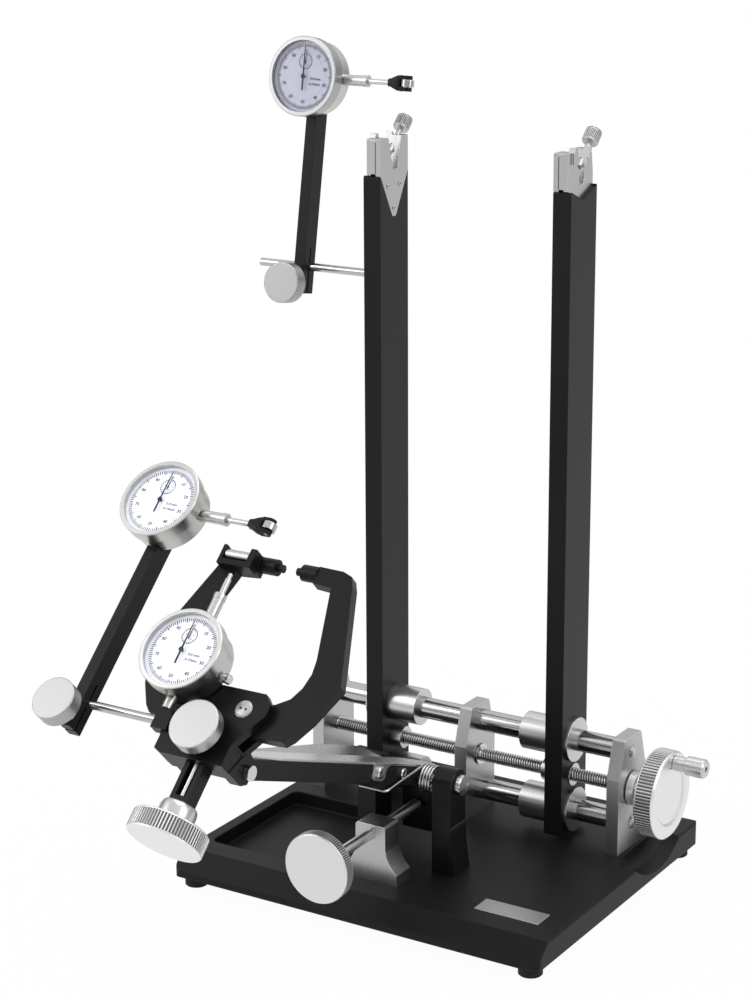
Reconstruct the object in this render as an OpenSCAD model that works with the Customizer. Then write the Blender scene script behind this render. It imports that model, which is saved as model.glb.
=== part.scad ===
// Bench stand for truing bicycle wheels, with three dial gauges.
// X runs from left to right and is 0 midway between the uprights.
// Y runs away from the user and is 0 in the uprights' middle depth.
// Z is 0 on the surface under the rubber feet.

/* [Base] */
// Length of the base from left to right
base_w = 300; // [290:1:320]
// Distance from the stand's middle to the base's left edge
base_left = 147; // [140:1:155]
// Distance from the uprights' middle to the back edge
base_back = 69.5; // [60:0.5:80]
// Distance from the uprights' middle to the front bottom edge
base_front = 183; // [175:1:200]
// How far the sloping front face runs back
base_slope = 15; // [8:1:20]
// Height of the upright band below the sloping front face
base_band = 5.5; // [3:0.5:8]
// Thickness of the base plate
base_t = 17.3; // [14:0.1:22]
// Chamfer along the plate's top edges
base_edge = 1; // [0.5:0.1:2]
// Radius of the plate's upright corners
base_corner = 5; // [3:0.5:9]
// Diameter of a rubber foot
foot_d = 17; // [14:1:20]
// Height of a rubber foot
foot_h = 8; // [6:0.5:10]
// Distance of a foot's axis from the plate's two nearest edges
foot_inset = 12; // [10:1:18]
// Screw hole through a foot
foot_hole_d = 5; // [4:0.5:6]

/* [Tray in the base] */
// Left wall of the tray
tray_left = -137; // [-139:1:-130]
// Right wall of the tray
tray_right = -46; // [-60:1:-40]
// Front wall of the tray
tray_front = -150; // [-156:1:-140]
// Back wall of the tray
tray_back = -38; // [-50:1:-35]
// Depth of the tray
tray_depth = 11; // [8:0.5:12]
// Radius of the tray's corners
tray_corner = 6; // [4:1:10]

/* [Scoop under the handwheel] */
// Radius of the scoop around the handwheel's axis
scoop_r = 59.5; // [56:0.5:62]
// Where the full radius starts
scoop_x = 141; // [139:1:146]
// Where the rounded inner end of the scoop starts
scoop_in = 133; // [132.5:0.5:136]

/* [Guide rods and lead screw] */
// Diameter of the guide rods
rod_d = 16; // [12:0.5:18]
// Height of the upper guide rod's axis
rod_hi = 99.5; // [96:0.5:102]
// Height of the lower guide rod's axis
rod_lo = 45; // [44:0.5:48]
// Height of the lead screw's axis
screw_z = 72; // [70:0.5:74]
// Diameter of the lead screw
screw_d = 10; // [8:0.5:10]
// Radial clearance of a running fit
fit = 0.05; // [0.02:0.01:0.08]
// Distance from the middle to an end plate's outer face
end_x = 131; // [128:1:134]
// Thickness of an end plate
end_t = 10; // [8:1:12]
// Thickness of the centre plate
mid_t = 10; // [8:1:12]
// Half of the plates' width at the foot
plate_y = 21.5; // [20:0.5:24]
// Bevel at the plates' top corners
plate_bevel = 1.2; // [0.5:0.1:2]
// Half of the plates' width at the top
plate_top_y = 13; // [12:0.5:16]
// Height at which the plates start to taper
plate_taper_z = 83.5; // [80:0.5:86]
// Height of the plates' tops
plate_top_z = 112; // [110:0.5:116]
// Diameter of the socket screws at the rods' ends
end_screw_d = 7; // [5:0.5:9]
// Diameter of the retaining ring on the screw
ring_d = 16; // [13:0.5:18]
// Thickness of the retaining ring
ring_t = 1.2; // [1:0.1:2]

/* [Handwheel] */
// Radius of the handwheel
wheel_r = 32; // [28:1:34]
// Inner face of the handwheel's rim
wheel_x = 147; // [145:0.5:149]
// Width of the handwheel's rim
wheel_t = 15; // [12:0.5:16]
// Radial thickness of the rim
rim_t = 4; // [3:0.5:6]
// Thickness of the handwheel's web
web_t = 6; // [4:0.5:8]
// How far the face of the web lies inside the rim
web_in = 3; // [2:0.5:5]
// Diameter of the handwheel's boss
boss_d = 26; // [22:1:28]
// Length of the boss beside the end plate
boss_t = 6; // [4:0.5:8]
// Diameter of the boss's neck
neck_d = 21; // [16:0.5:23]
// Length of the curve from the boss to its neck
neck_curve = 4; // [2:0.5:6]
// Radius of the dish in the handwheel's face
dish_r = 23; // [18:0.5:24]
// Distance of the grip's axis from the screw's axis
grip_r = 24; // [20:1:25]
// Turn of the grip from straight up, away from the user
grip_turn = 12; // [-180:1:180]
// Diameter of the grip
grip_d = 14; // [12:0.5:15]
// Length of the grip
grip_l = 24; // [20:1:30]
// Diameter of the grip's narrow foot
grip_foot_d = 11; // [9:0.5:12]
// Length of the grip's narrow foot
grip_foot_l = 9; // [6:0.5:12]
// Bevel at the grip's ends
grip_bevel = 1.2; // [0.6:0.1:2]
// Diameter of the socket in the grip's end
grip_socket_d = 4; // [3:0.5:5]
// Diameter of the grip's pin
grip_pin_d = 6; // [5:0.5:8]

/* [Uprights] */
// Distance from the middle to an upright's inner face
post_x = 69.4; // [64:0.2:75]
// Thickness of an upright
post_t = 14.1; // [12:0.1:16]
// Half of an upright's depth
post_y = 19; // [17:0.5:21]
// Height of an upright's lower end
post_z0 = 29; // [27:0.5:32]
// Height of an upright's upper end
post_z1 = 503.5; // [460:0.5:540]
// Chamfer at the front of an upright's upper end
post_chamfer = 2.8; // [1:0.2:5]
// Outer diameter of the bushes
bush_d = 28; // [24:0.5:28]
// Diameter of the bush where it goes through the upright
bush_through_d = 23; // [20:0.5:24]
// Where the bushes' inner ends are
bush_x = 45; // [42:1:50]
// Diameter of the bushes' flanges
flange_d = 33; // [30:0.5:33]
// Thickness of the bushes' flanges
flange_t = 2.5; // [2:0.1:3]
// Diameter of the lead screw's nuts
nut_d = 17; // [15:0.5:18]
// How far a nut stands out of the upright's inner face
nut_out = 9; // [6:0.5:12]

/* [Axle heads] */
// Height of the clamped axle's centre
axle_z = 512; // [511:0.5:514]
// Depth position of the clamped axle
axle_y = 1.2; // [0:0.1:2]
// Diameter of the axle that the seat takes
axle_d = 10; // [9:0.5:10.5]
// Height of the heads' tops
head_top = 528.2; // [526:0.2:532]
// Half of a head's depth
head_y = 19; // [17:0.5:20]
// Thickness of the plate on the upright's inner face
vee_t = 4; // [3:0.5:5]
// Height of the inner plate's point
vee_tip = 471.5; // [468:0.5:480]
// Half of the inner plate's width at its cut-off point
vee_tip_w = 2.6; // [1:0.1:4]
// Height where the inner plate starts to narrow
vee_z = 503; // [500:0.5:503]
// Opening of the axle notch at the top
notch_top = 19.7; // [17:0.1:21]
// Width of the axle notch at the bottom
notch_low = 5.6; // [4:0.1:6]
// Height of the axle notch's bottom
notch_z = 505; // [504.5:0.5:506]
// Thickness of the outer pointed plate
outer_t = 3.2; // [2.5:0.1:4]
// How far the outer plate lies inside the upright's outer face
outer_in = 2.9; // [2.5:0.1:3.5]
// Height of the outer plate's point
outer_tip = 494.8; // [493:0.2:497]
// Height where the outer plate starts to narrow
outer_z = 502.4; // [501:0.2:503]
// Front and back bevels of a head's top
head_bevel = 6; // [3:0.5:8]
// Height of the bevel at a head's back
head_shoulder = 16.5; // [12:0.5:18]
// How far inside the head's front the tongue starts
tongue_front = 6; // [4:0.5:8]
// How far inside the head's back the tongue ends
tongue_back = 12; // [8:0.5:13]
// Height of the raised tongue on the outer plate
tongue_z = 531.2; // [530:0.2:533]
// How far the tongue stands out of the outer plate
tongue_t = 1.6; // [1:0.1:2]
// Diameter of the small screws in the inner plate
vee_screw_d = 5; // [4:0.5:6]

/* [Thumb screws] */
// Lean of the thumb screws from straight up, away from the user
thumb_lean = 44.5; // [40:0.5:48]
// Distance of a thumb screw's axis from the middle
thumb_x = 76.4; // [76:0.1:77]
// Distance from the axle's centre to the thumb screw's head
thumb_start = 27; // [25:0.5:30]
// Diameter of the thumb screw's head
thumb_d = 11.5; // [10:0.5:13]
// Length of the thumb screw's head
thumb_l = 10; // [8:0.5:12]
// Diameter of the thumb screw's thread
thumb_pin_d = 4; // [3:0.5:4]
// Distance from the axle's centre to the thumb screw's tip
thumb_tip = 6.5; // [5.5:0.5:8]

/* [Dial gauges] */
// Diameter of the bezel
dial_d = 58; // [56:1:60]
// Diameter of the case
case_d = 54; // [52:1:56]
// Distance from the stem's axis to the bezel's front
dial_front = 15; // [14:0.5:16]
// Distance from the stem's axis to the case's back
case_back = 8; // [7:0.5:8.5]
// Wall of the case
case_wall = 2; // [1.5:0.5:3]
// Distance from the stem's axis to the bezel's back
bezel_back = 5; // [4:0.5:6]
// Radial width of the bezel's front lip
bezel_lip = 3; // [2:0.5:4]
// Distance from the stem's axis to the printed dial
dial_z = 10; // [9.5:0.1:10.5]
// Thickness of the printed dial
dial_t = 0.8; // [0.6:0.1:1]
// Diameter of the fixed disc inside the turning dial
hub_dial_d = 34; // [32:0.5:36]
// Diameter of the stem
stem_d = 8; // [7:0.5:9]
// Distance from the dial's centre to the stem's end
stem_end = 44.5; // [42:0.5:48]
// Diameter of the plunger
plunger_d = 4; // [3.5:0.5:5]
// Distance from the dial's centre to the plunger's cap end
cap_end = 36; // [35:0.5:40]
// Distance between the dial's centre and the small dial's centre
small_up = 11; // [10:0.5:12]
// Length of the long pointer
pointer_l = 22.2; // [20:0.2:23]
// Length of the long pointer's tail
pointer_tail = 10; // [6:0.5:11]
// Length of the small pointer
small_l = 4.6; // [3:0.2:5]
// Height of the long pointer above the dial
pointer_rise = 2.2; // [1.2:0.1:2.6]
// Thickness of the pointers
pointer_t = 0.4; // [0.3:0.1:0.6]
// Where the roller fork starts on the plunger
fork_start = 61.5; // [58:0.5:64]
// Where the roller's axis is
roller_x = 81; // [78:0.5:84]
// Diameter of the gauge rollers
roller_d = 9.5; // [8:0.5:10]
// Width of the gauge rollers
roller_t = 5; // [4:0.5:6]
// Height of the roller fork over its prongs
fork_h = 12; // [10:0.5:14]
// Width of the roller fork
fork_w = 7; // [6:0.5:8]

/* [Gauge bars] */
// Width of a gauge bar
bar_w = 8.6; // [8:0.2:10]
// Depth of a gauge bar
bar_d = 14.4; // [13:0.2:16]
// Diameter of the rods that carry the gauge bars
arm_rod_d = 6; // [5:0.5:7]
// Distance from the rod to the bar's lower end
bar_low = 20; // [18:0.5:24]
// Distance from the rod to the clamp knob's axis
knob_low = 12.5; // [11:0.5:13.5]
// Distance from the bar's middle to the clamp knob's face
knob_face = 30; // [27:0.5:32]
// Diameter of the clamp knobs
knob_d = 30; // [27:0.5:33]
// Thickness of the clamp knobs
knob_t = 11; // [9:0.5:12]
// Width of the slit in the bar's lower end
slit_w = 1.6; // [1:0.2:2]
// Length of the slit beyond the rod
slit_up = 14; // [10:1:18]
// How far the stem's axis lies in front of the bar's middle
bar_back = 9.4; // [9:0.1:10]

/* [Upper gauge] */
// Distance of the upper gauge from the middle
upper_x = 147.8; // [140:0.2:155]
// Height of the upper gauge's rod
upper_z = 427.6; // [400:0.2:450]
// Lean of the upper gauge away from the user
upper_lean = 10; // [0:1:20]
// Distance from the rod to the upper dial's centre
upper_up = 137.5; // [120:0.5:150]
// Wall left between the upper rod's end and the upright's inner face
rod_wall = 2; // [1:0.5:4]
// Left end of the upper gauge's rod
upper_end = 186; // [175:1:200]

/* [Posts and main arm] */
// Distance of the arm's pivot in front of the uprights
pivot_y = 101; // [98:1:104]
// Height of the arm's pivot
pivot_z = 91; // [88:1:94]
// Diameter of the arm's pivot bolt
pivot_d = 8; // [7:0.5:9]
// Diameter of the pivot bolt's head
bolt_head_d = 15; // [12:0.5:17]
// Thickness of the pivot bolt's head
bolt_head_t = 5; // [3:0.5:7]
// Width and depth of the slot in the head
bolt_slot = 1.6; // [1:0.1:2]
// How far the bolt stands out of the left post
bolt_out = 5; // [2:0.5:8]
// Inner side of the right post
post_right = 29; // [28:0.5:31]
// Inner side of the left post
post_left = 18; // [17:0.5:20]
// Thickness of the two posts
pillar_t = 15; // [12:0.5:16]
// How much wider a post is at its foot
pillar_flare = 3.6; // [0:0.2:6]
// Height where a post starts to widen
pillar_flare_z = 54; // [40:1:70]
// Bevel at the front of a post's top
pillar_bevel = 7; // [3:0.5:9]
// Half of the posts' depth
pillar_y = 11; // [10:0.5:13]
// Height of the posts' tops
pillar_top = 109; // [106:0.5:112]
// Height of the main arm's section
arm_h = 13.5; // [12:0.5:16]
// Half of the main arm's width
arm_w = 14; // [13:0.2:14.4]
// How far in front of the pivot the arm's yoke rests on the spring
yoke_y = 50.5; // [44:0.5:60]
// Half of the yoke's length along the arm
yoke_l = 18; // [12:1:22]
// Distance of the yoke's lower face below the arm's axis
yoke_low = 10.4; // [8:0.1:12]
// Length of the leg below the pivot
leg_l = 50.5; // [46:0.5:52]
// Thickness of the leg
leg_t = 9; // [7:0.5:11]
// Distance of the leg's face behind the pivot
leg_back = 19; // [17:0.5:21]
// Height of the leg's root behind the pivot
leg_root = 10; // [8:0.5:12]
// Thickness of the cover strip on the arm
cover_t = 1.5; // [1:0.1:2]
// How far in front of the pivot the cover strip ends
cover_front = 226; // [200:1:228]
// Where the cover strip starts to narrow
cover_mid = 190; // [150:1:200]
// Half of the cover strip's width at its front end
cover_nose = 8; // [5:0.5:13]
// How far behind the pivot the cover strip ends
cover_back = 28; // [20:1:30]
// Middle of the ears on the cover strip, in front of the pivot
ear_y = 63; // [58:0.5:66]
// Half of an ear's width
ear_w = 9; // [6:0.5:10]
// How far an ear reaches below the arm's top
ear_h = 8; // [5:0.5:9]

/* [Torsion spring] */
// Wire diameter
wire_d = 1.6; // [1.4:0.1:1.8]
// Outer diameter of the coil
coil_d = 20; // [18:0.5:22]
// Number of whole turns
coil_turns = 4.5; // [3.5:1:4.5]
// Rise of the coil in one turn
coil_pitch = 2.1; // [2.05:0.01:2.15]
// Left end of the hook under the arm
hook_x = -6; // [-12:0.5:4]
// How far the leg beside the post reaches in front of the pivot
leg_post_y = 8; // [6:0.5:9]

/* [Adjuster] */
// Height of the adjuster screw's axis
adj_z = 61; // [58:0.5:64]
// Back face of the adjuster block
adj_back = 129.5; // [126:0.5:133]
// Thickness of the adjuster block
adj_t = 18.5; // [15:0.5:20]
// Half of the block's width at the top
adj_w = 12.2; // [11:0.2:14]
// Half of the block's width at the foot
adj_foot_w = 21.5; // [20:0.5:24]
// Height of the block's top
adj_top = 68; // [66:0.5:70]
// Height of the block's foot flange
adj_foot = 8.2; // [6:0.2:10]
// Height of the curve from the block's foot to its side
adj_curve = 19.5; // [10:0.5:24]
// How far round that curve goes
adj_curve_turn = 50; // [30:1:80]
// Bevel at the block's top
adj_bevel = 1.5; // [0.5:0.1:3]
// Diameter of the adjuster screw's tip
adj_tip_d = 5; // [4:0.5:7]
// Length of the adjuster screw's tip
adj_tip_l = 3; // [2:0.5:5]
// Diameter of the adjuster screw
adj_d = 8; // [7:0.5:9]
// Diameter of the adjuster knob
adj_knob_d = 50; // [44:1:54]
// Thickness of the adjuster knob
adj_knob_t = 9; // [8:0.5:12]
// Distance of the adjuster knob's face in front of the uprights
adj_face = 218; // [210:1:226]

/* [Caliper head] */
// Distance of the caliper tips in front of the uprights
head_front = 242; // [236:1:248]
// Height of the caliper tips
head_z = 280; // [270:1:290]
// Rise of the caliper head from level
head_rise = 43.5; // [40:0.5:48]
// Thickness of the caliper arms
cal_t = 8; // [7:0.5:8.5]
// Distance of the arms' pivots from the middle
cal_x = 19; // [18:0.5:20]
// Distance of the arms' pivots below the tips
cal_y = 105; // [104:0.5:106]
// Half of the gap between the two tips
tip_gap = 5.4; // [4:0.2:8]
// Diameter of a tip's pin
tip_d = 5.4; // [4:0.2:6]
// Diameter of a tip's boss
tip_boss_d = 11; // [10:0.5:12]
// Length of a tip's boss
tip_boss_l = 12; // [10:0.5:14]
// Half of the hub's width
hub_w = 36; // [35:0.5:38]
// Distance from the head's plane to the hub's front
hub_front = 10; // [9:0.5:10]
// Distance from the head's plane to the hub's back
hub_back = 9.5; // [8.5:0.1:10]
// Distance from the tips to the hub's top
hub_top = 92; // [90:0.5:93]
// Distance from the tips to the hub's lower face
hub_low = 145; // [143:0.5:147]
// Height of the hub's lower lip on its left side
hub_lip = 4; // [3:0.5:5]
// How far the hub's lower lip lies inside its left side
lip_in = 5; // [4:0.5:8]
// Half of the hub's width at its narrow lower end
hub_low_w = 21.6; // [20:0.2:24]
// Distance from the tips to where the hub starts to narrow
hub_wide_y = 106; // [102:0.5:112]
// Bevel at the hub's upper corners
hub_bevel = 6; // [4:0.5:8]
// Outer side of the clevis cheeks from the middle
cheek_x = 22.5; // [20:0.5:24]
// Width of the feeler block on the left arm
feeler_w = 26; // [22:0.5:30]
// Distance of the feeler block's outer side from the middle
feeler_x = 48; // [46:0.5:50]
// Depth of the feeler block
feeler_y = 14; // [12:0.5:16]
// Thickness of the feeler block
feeler_h = 9; // [8:0.5:10]
// Thickness of the feeler block's cheeks
feeler_wall = 2.5; // [2:0.5:4]
// Diameter of the feeler roller
feeler_d = 7; // [5:0.5:8]
// Diameter of the arm screws
arm_screw_d = 7; // [6:0.5:8]
// Diameter of the arm screws' heads
arm_head_d = 12; // [10:0.5:13]
// Diameter of the clevis bolt's head
clevis_head_d = 10; // [9:0.5:12]
// Thickness of the clevis bolt's head
clevis_head_t = 4; // [3:0.5:5]
// Distance from the tips to the slide's upper end
slide_top = 121; // [118:0.5:124]
// Thickness of the slide
slide_t = 11; // [10:0.1:11.5]
// Distance from the tips to the lower end of the arms' slot
arm_slot_y = 128; // [126:0.5:130]
// Distance from the tips to where the left side steps in
hub_step_y = 120; // [116:0.5:124]
// Height of the straight part above the hub's lower right corner
hub_slope = 15; // [12:0.5:18]
// Thickness of the clevis cheeks
cheek_t = 8; // [6:0.5:9]
// How far the cheeks reach up the hub's back
cheek_up = 12; // [8:0.5:16]
// Distance of the feeler block below the tips
feeler_low = 10; // [8:0.5:12]
// Thickness of the feeler block's foot
feeler_web = 4; // [3:0.5:5]
// Width of the feeler block's slot
feeler_gap_w = 19; // [16:0.5:21]
// Distance of the feeler roller's axis below the tips
feeler_axis = 1; // [0.5:0.1:2]
// Distance from the tips to the plain clamp knob's axis
hub_knob_y = 127.7; // [126:0.1:130]
// Diameter of the plain clamp knob's stud
hub_stud_d = 10; // [8:0.5:12]
// Distance from the head's plane to the slide's back
slide_w0 = -5; // [-6:0.1:-4]
// Distance from the head's plane to the collar's axis
slide_axis = 0.5; // [0:0.1:1]
// Distance from the tips to the clevis bolt
clevis_y = 135; // [134:0.5:136]
// Distance of the clevis bolt behind the head's plane
clevis_back = 17.1; // [16.5:0.1:19]
// Diameter of the clevis bolt
clevis_d = 6; // [5:0.5:7]
// Half of the slide's width
slide_w = 7; // [6:0.5:8]
// Distance from the tips to the slide's lower end
slide_low = 173; // [170:1:176]
// Diameter of the collar below the slide
collar_d = 22; // [20:1:24]
// Length of the collar below the slide
collar_l = 12; // [10:1:14]
// Diameter of the knurled wheel below the collar
cal_wheel_d = 50; // [44:1:54]
// Thickness of the knurled wheel
cal_wheel_t = 14; // [12:1:16]
// Diameter of the plain clamp knob on the hub
hub_knob_d = 34; // [30:1:36]
// Thickness of the plain clamp knob
hub_knob_t = 9; // [8:0.5:10]
// Distance from the head's plane to the plain clamp knob's face
hub_knob_face = 26; // [24:0.5:28]

/* [Gauges on the caliper head] */
// Distance of the side gauge from the middle
side_x = 99.3; // [96:0.1:106]
// Distance from the tips to the side gauge's rod
side_y = 124; // [122:0.5:126]
// Distance of the side gauge's rod in front of the head's plane
side_w = 7.6; // [7.4:0.1:9]
// Length of the boss that holds the side gauge's rod
rod_boss_l = 3; // [2:0.5:6]
// Length of that boss as a whole
rod_boss_in = 12; // [10:0.5:14]
// Half of that boss's width
rod_boss_w = 7; // [5:0.5:8]
// Distance from the rod to the side dial's centre
side_up = 143.4; // [130:0.1:150]
// Distance of the centre gauge from the middle
centre_x = 28.5; // [27:0.5:29.5]
// Distance from the tips to the centre dial's centre
centre_y = 83.5; // [81:0.5:85]
// Distance of the centre gauge's stem axis in front of the head's plane
centre_w = 18.8; // [18.6:0.1:20]
// Distance from the centre dial's centre to its plunger's tip
centre_tip = 64; // [60:0.5:66]

/* [Hidden] */
$fn = 64;

// Small allowances shared by many parts
cut = 1;
gap = 0.3;
soft = 0.6;
top_z = foot_h + base_t;

// From the arm's pivot to the caliper head's bolt
reach_y = head_front + clevis_y * cos(head_rise) - clevis_back * sin(head_rise) - pivot_y;
reach_z = head_z - clevis_y * sin(head_rise) - clevis_back * cos(head_rise) - pivot_z;
arm_l = norm([reach_y, reach_z]);
arm_rise = atan2(reach_z, reach_y);

black = "#1d1d1f";
silver = "#b9bbbe";
bright = "#d6d8da";

// A cylinder along X from x0 to x1
module rod_x(d, x0, x1) {
    translate([x0, 0, 0]) rotate([0, 90, 0]) cylinder(d = d, h = x1 - x0);
}

// A cylinder along Y from y0 to y1
module rod_y(d, y0, y1) {
    translate([0, y0, 0]) rotate([-90, 0, 0]) cylinder(d = d, h = y1 - y0);
}

// A cylinder along Z from z0 to z1
module rod_z(d, z0, z1) {
    translate([0, 0, z0]) cylinder(d = d, h = z1 - z0);
}

// A disc along Z with softened rims
module disc_z(d, z0, z1, edge = soft) {
    rotate_extrude() polygon([[0, z0], [d / 2 - edge, z0], [d / 2, z0 + edge],
        [d / 2, z1 - edge], [d / 2 - edge, z1], [0, z1]]);
}

// A plan outline with round corners
module round_rect(x0, x1, y0, y1, r) {
    polygon(concat(
        arc_points([x1 - r, y1 - r], r, 0, 90),
        arc_points([x0 + r, y1 - r], r, 90, 180),
        arc_points([x0 + r, y0 + r], r, 180, 270),
        arc_points([x1 - r, y0 + r], r, 270, 360)));
}

arc_steps = 6;
corner_steps = 3;
corner_share = 0.45;
flat_half = 86;
function arc_points(c, r, a0, a1) = [for (i = [0:arc_steps])
    let (a = a0 + (a1 - a0) * i / arc_steps) [c[0] + r * cos(a), c[1] + r * sin(a)]];

// An outline in the Y-Z plane, thickened along X from x0 to x1
module slab_x(x0, x1) {
    translate([x0, 0, 0]) rotate([90, 0, 90]) linear_extrude(x1 - x0) children();
}

function unit(v) = v / norm(v);

// The points that round off the corner b between a and c
function corner(a, b, c, r) = let (u = unit(a - b), v = unit(c - b), half = acos(u * v) / 2)
    half > flat_half ? [b] :
    let (back = min(r / tan(half), norm(a - b) * corner_share, norm(c - b) * corner_share),
        middle = b + unit(u + v) * back / cos(half), from = b + u * back - middle,
        turn = (2 * half - 180) * sign(cross(u, v)))
    [for (i = [0:corner_steps]) let (w = turn * i / corner_steps)
        middle + [from[0] * cos(w) - from[1] * sin(w), from[0] * sin(w) + from[1] * cos(w)]];

// An outline with every corner rounded off
function rounded(p, r) = [for (i = [0:len(p) - 1])
    each corner(p[(i + len(p) - 1) % len(p)], p[i], p[(i + 1) % len(p)], r)];

// One side of the stand: 1 is right, -1 is left
module sided(side) {
    if (side > 0) children();
    else mirror([1, 0, 0]) children();
}

// BASE

module base_plate() {
    right = base_w - base_left;
    color(black) difference() {
        intersection() {
            slab_x(-base_left, right) polygon([[base_back, foot_h],
                [base_back, top_z - base_edge], [base_back - base_edge, top_z],
                [base_slope - base_front, top_z], [-base_front, foot_h + base_band],
                [-base_front, foot_h]]);
            translate([0, base_back, 0]) rotate([90, 0, 0])
                linear_extrude(base_back + base_front)
                polygon([[-base_left, foot_h], [right, foot_h], [right, top_z - base_edge],
                    [right - base_edge, top_z], [base_edge - base_left, top_z],
                    [-base_left, top_z - base_edge]]);
            translate([0, 0, foot_h]) linear_extrude(base_t)
                round_rect(-base_left, right, -base_front, base_back, base_corner);
        }
        translate([0, 0, top_z - tray_depth]) linear_extrude(tray_depth + cut)
            round_rect(tray_left, tray_right, tray_front, tray_back, tray_corner);
        translate([0, 0, screw_z]) rotate([0, 90, 0]) scoop();
    }
}

// The scoop under the handwheel, along Z before it is turned
module scoop() {
    bulge = scoop_x - scoop_in;
    rotate_extrude($fn = 128) polygon(concat([[0, scoop_in]],
        [for (i = [0:arc_steps]) let (a = 90 * i / arc_steps)
            [scoop_r - bulge + bulge * sin(a), scoop_x - bulge * cos(a)]],
        [[scoop_r, base_w], [0, base_w]]));
}

// Repeats its child at the four feet
module at_feet() {
    right = base_w - base_left;
    for (x = [foot_inset - base_left, right - foot_inset])
        for (y = [foot_inset - base_front, base_back - foot_inset])
            translate([x, y, 0]) children();
}

module rubber_feet() {
    color("#141414") at_feet() difference() {
        disc_z(foot_d, 0, foot_h, soft);
        rod_z(foot_hole_d, -cut, foot_h - foot_inset / 4);
    }
}

// GUIDE FRAME

// The outline that the three silver plates share
module plate_outline() {
    polygon([[-plate_y, top_z], [plate_y, top_z], [plate_y, plate_taper_z],
        [plate_top_y, plate_top_z - plate_bevel], [plate_top_y - plate_bevel, plate_top_z],
        [plate_bevel - plate_top_y, plate_top_z], [-plate_top_y, plate_top_z - plate_bevel],
        [-plate_y, plate_taper_z]]);
}

module end_plate(side) {
    color(silver) sided(side) difference() {
        slab_x(end_x - end_t, end_x) plate_outline();
        for (z = [rod_lo, rod_hi]) translate([0, 0, z]) {
            rod_x(rod_d, 0, end_x - end_t / 2);
            rod_x(end_screw_d, 0, end_x + cut);
        }
        translate([0, 0, screw_z]) rod_x(screw_d + 2 * fit, 0, end_x + cut);
    }
}

module end_plate_left() { end_plate(-1); }
module end_plate_right() { end_plate(1); }

module centre_plate() {
    color(silver) difference() {
        slab_x(-mid_t / 2, mid_t / 2) plate_outline();
        for (z = [rod_lo, rod_hi]) translate([0, 0, z]) rod_x(rod_d, -mid_t, mid_t);
        translate([0, 0, screw_z]) rod_x(screw_d + 2 * fit, -mid_t, mid_t);
    }
}

module guide_rods() {
    reach = end_x - end_t / 2;
    color(bright) for (z = [rod_lo, rod_hi]) translate([0, 0, z]) {
        rod_x(rod_d, -reach, reach);
        // The socket screws that hold the rod's ends
        rod_x(end_screw_d, reach, end_x + ring_t);
        rod_x(end_screw_d, -end_x - ring_t, -reach);
    }
}

module lead_screw() {
    color("#8d8f92") translate([0, 0, screw_z]) {
        rod_x(screw_d, -end_x - ring_t, wheel_x + wheel_t - web_in);
        rod_x(ring_d, mid_t / 2 + gap, mid_t / 2 + gap + ring_t);
        rod_x(ring_d, -mid_t / 2 - gap - ring_t, -mid_t / 2 - gap);
    }
}

module handwheel() {
    face = wheel_x + wheel_t - web_in;
    near = end_x + gap;
    waist = (boss_d - neck_d) / 2;
    color(silver) translate([0, 0, screw_z]) rotate([0, 90, 0]) difference() {
        rotate_extrude($fn = 96) polygon(concat(
            [[screw_d / 2, near], [boss_d / 2 - soft, near], [boss_d / 2, near + soft]],
            [for (i = [0:arc_steps]) let (a = 90 * i / arc_steps)
                [boss_d / 2 - waist * sin(a), near + boss_t + neck_curve * (1 - cos(a))]],
            [[neck_d / 2, face - web_t], [wheel_r - rim_t, face - web_t],
                [wheel_r - rim_t, wheel_x + soft], [wheel_r - rim_t + soft, wheel_x],
                [wheel_r - soft, wheel_x], [wheel_r, wheel_x + soft],
                [wheel_r, wheel_x + wheel_t - 2 * soft], [wheel_r - 2 * soft, wheel_x + wheel_t],
                [dish_r, wheel_x + wheel_t], [dish_r - web_in, face], [screw_d / 2, face]]));
        rotate([0, 0, -grip_turn]) translate([-grip_r, 0, 0])
            rod_z(grip_pin_d, wheel_x - cut, wheel_x + wheel_t + cut);
    }
}

module crank_grip() {
    near = wheel_x + wheel_t + gap;
    end = near + grip_l;
    step = near + grip_foot_l;
    color(silver) translate([0, 0, screw_z]) rotate([-grip_turn, 0, 0])
        translate([0, 0, grip_r]) rotate([0, 90, 0]) difference() {
            rotate_extrude() polygon([[0, wheel_x + rim_t], [grip_pin_d / 2 - fit, wheel_x + rim_t],
                [grip_pin_d / 2 - fit, near], [grip_foot_d / 2, near], [grip_foot_d / 2, step],
                [grip_d / 2 - grip_bevel / 2, step], [grip_d / 2, step + grip_bevel / 2],
                [grip_d / 2, end - grip_bevel], [grip_d / 2 - grip_bevel, end], [0, end]]);
            rod_z(grip_socket_d, end - grip_socket_d, end + cut);
        }
}

// UPRIGHTS

module upright(side) {
    outer_x = post_x + post_t;
    color(black) sided(side) difference() {
        slab_x(post_x, outer_x) polygon([[-post_y + soft, post_z0],
            [post_y - soft, post_z0], [post_y, post_z0 + soft], [post_y, post_z1],
            [post_chamfer - post_y, post_z1], [-post_y, post_z1 - post_chamfer],
            [-post_y, post_z0 + soft]]);
        for (z = [rod_lo, rod_hi]) translate([0, 0, z])
            rod_x(bush_through_d, post_x - cut, outer_x + cut);
        translate([0, 0, screw_z]) rod_x(nut_d, post_x - cut, outer_x + cut);
        // The pocket that the inner plate's point lies in
        slab_x(post_x - cut, post_x + vee_t) vee_outline();
        // The pocket that the outer plate's point lies in
        slab_x(outer_x - outer_in - outer_t, outer_x + cut) outer_outline();
    }
}

module upright_left() {
    color(black) difference() {
        upright(-1);
        translate([0, 0, upper_z])
            rod_x(arm_rod_d + 2 * fit, -post_x - post_t - cut, -post_x - rod_wall);
    }
}

module upright_right() { upright(1); }

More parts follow.
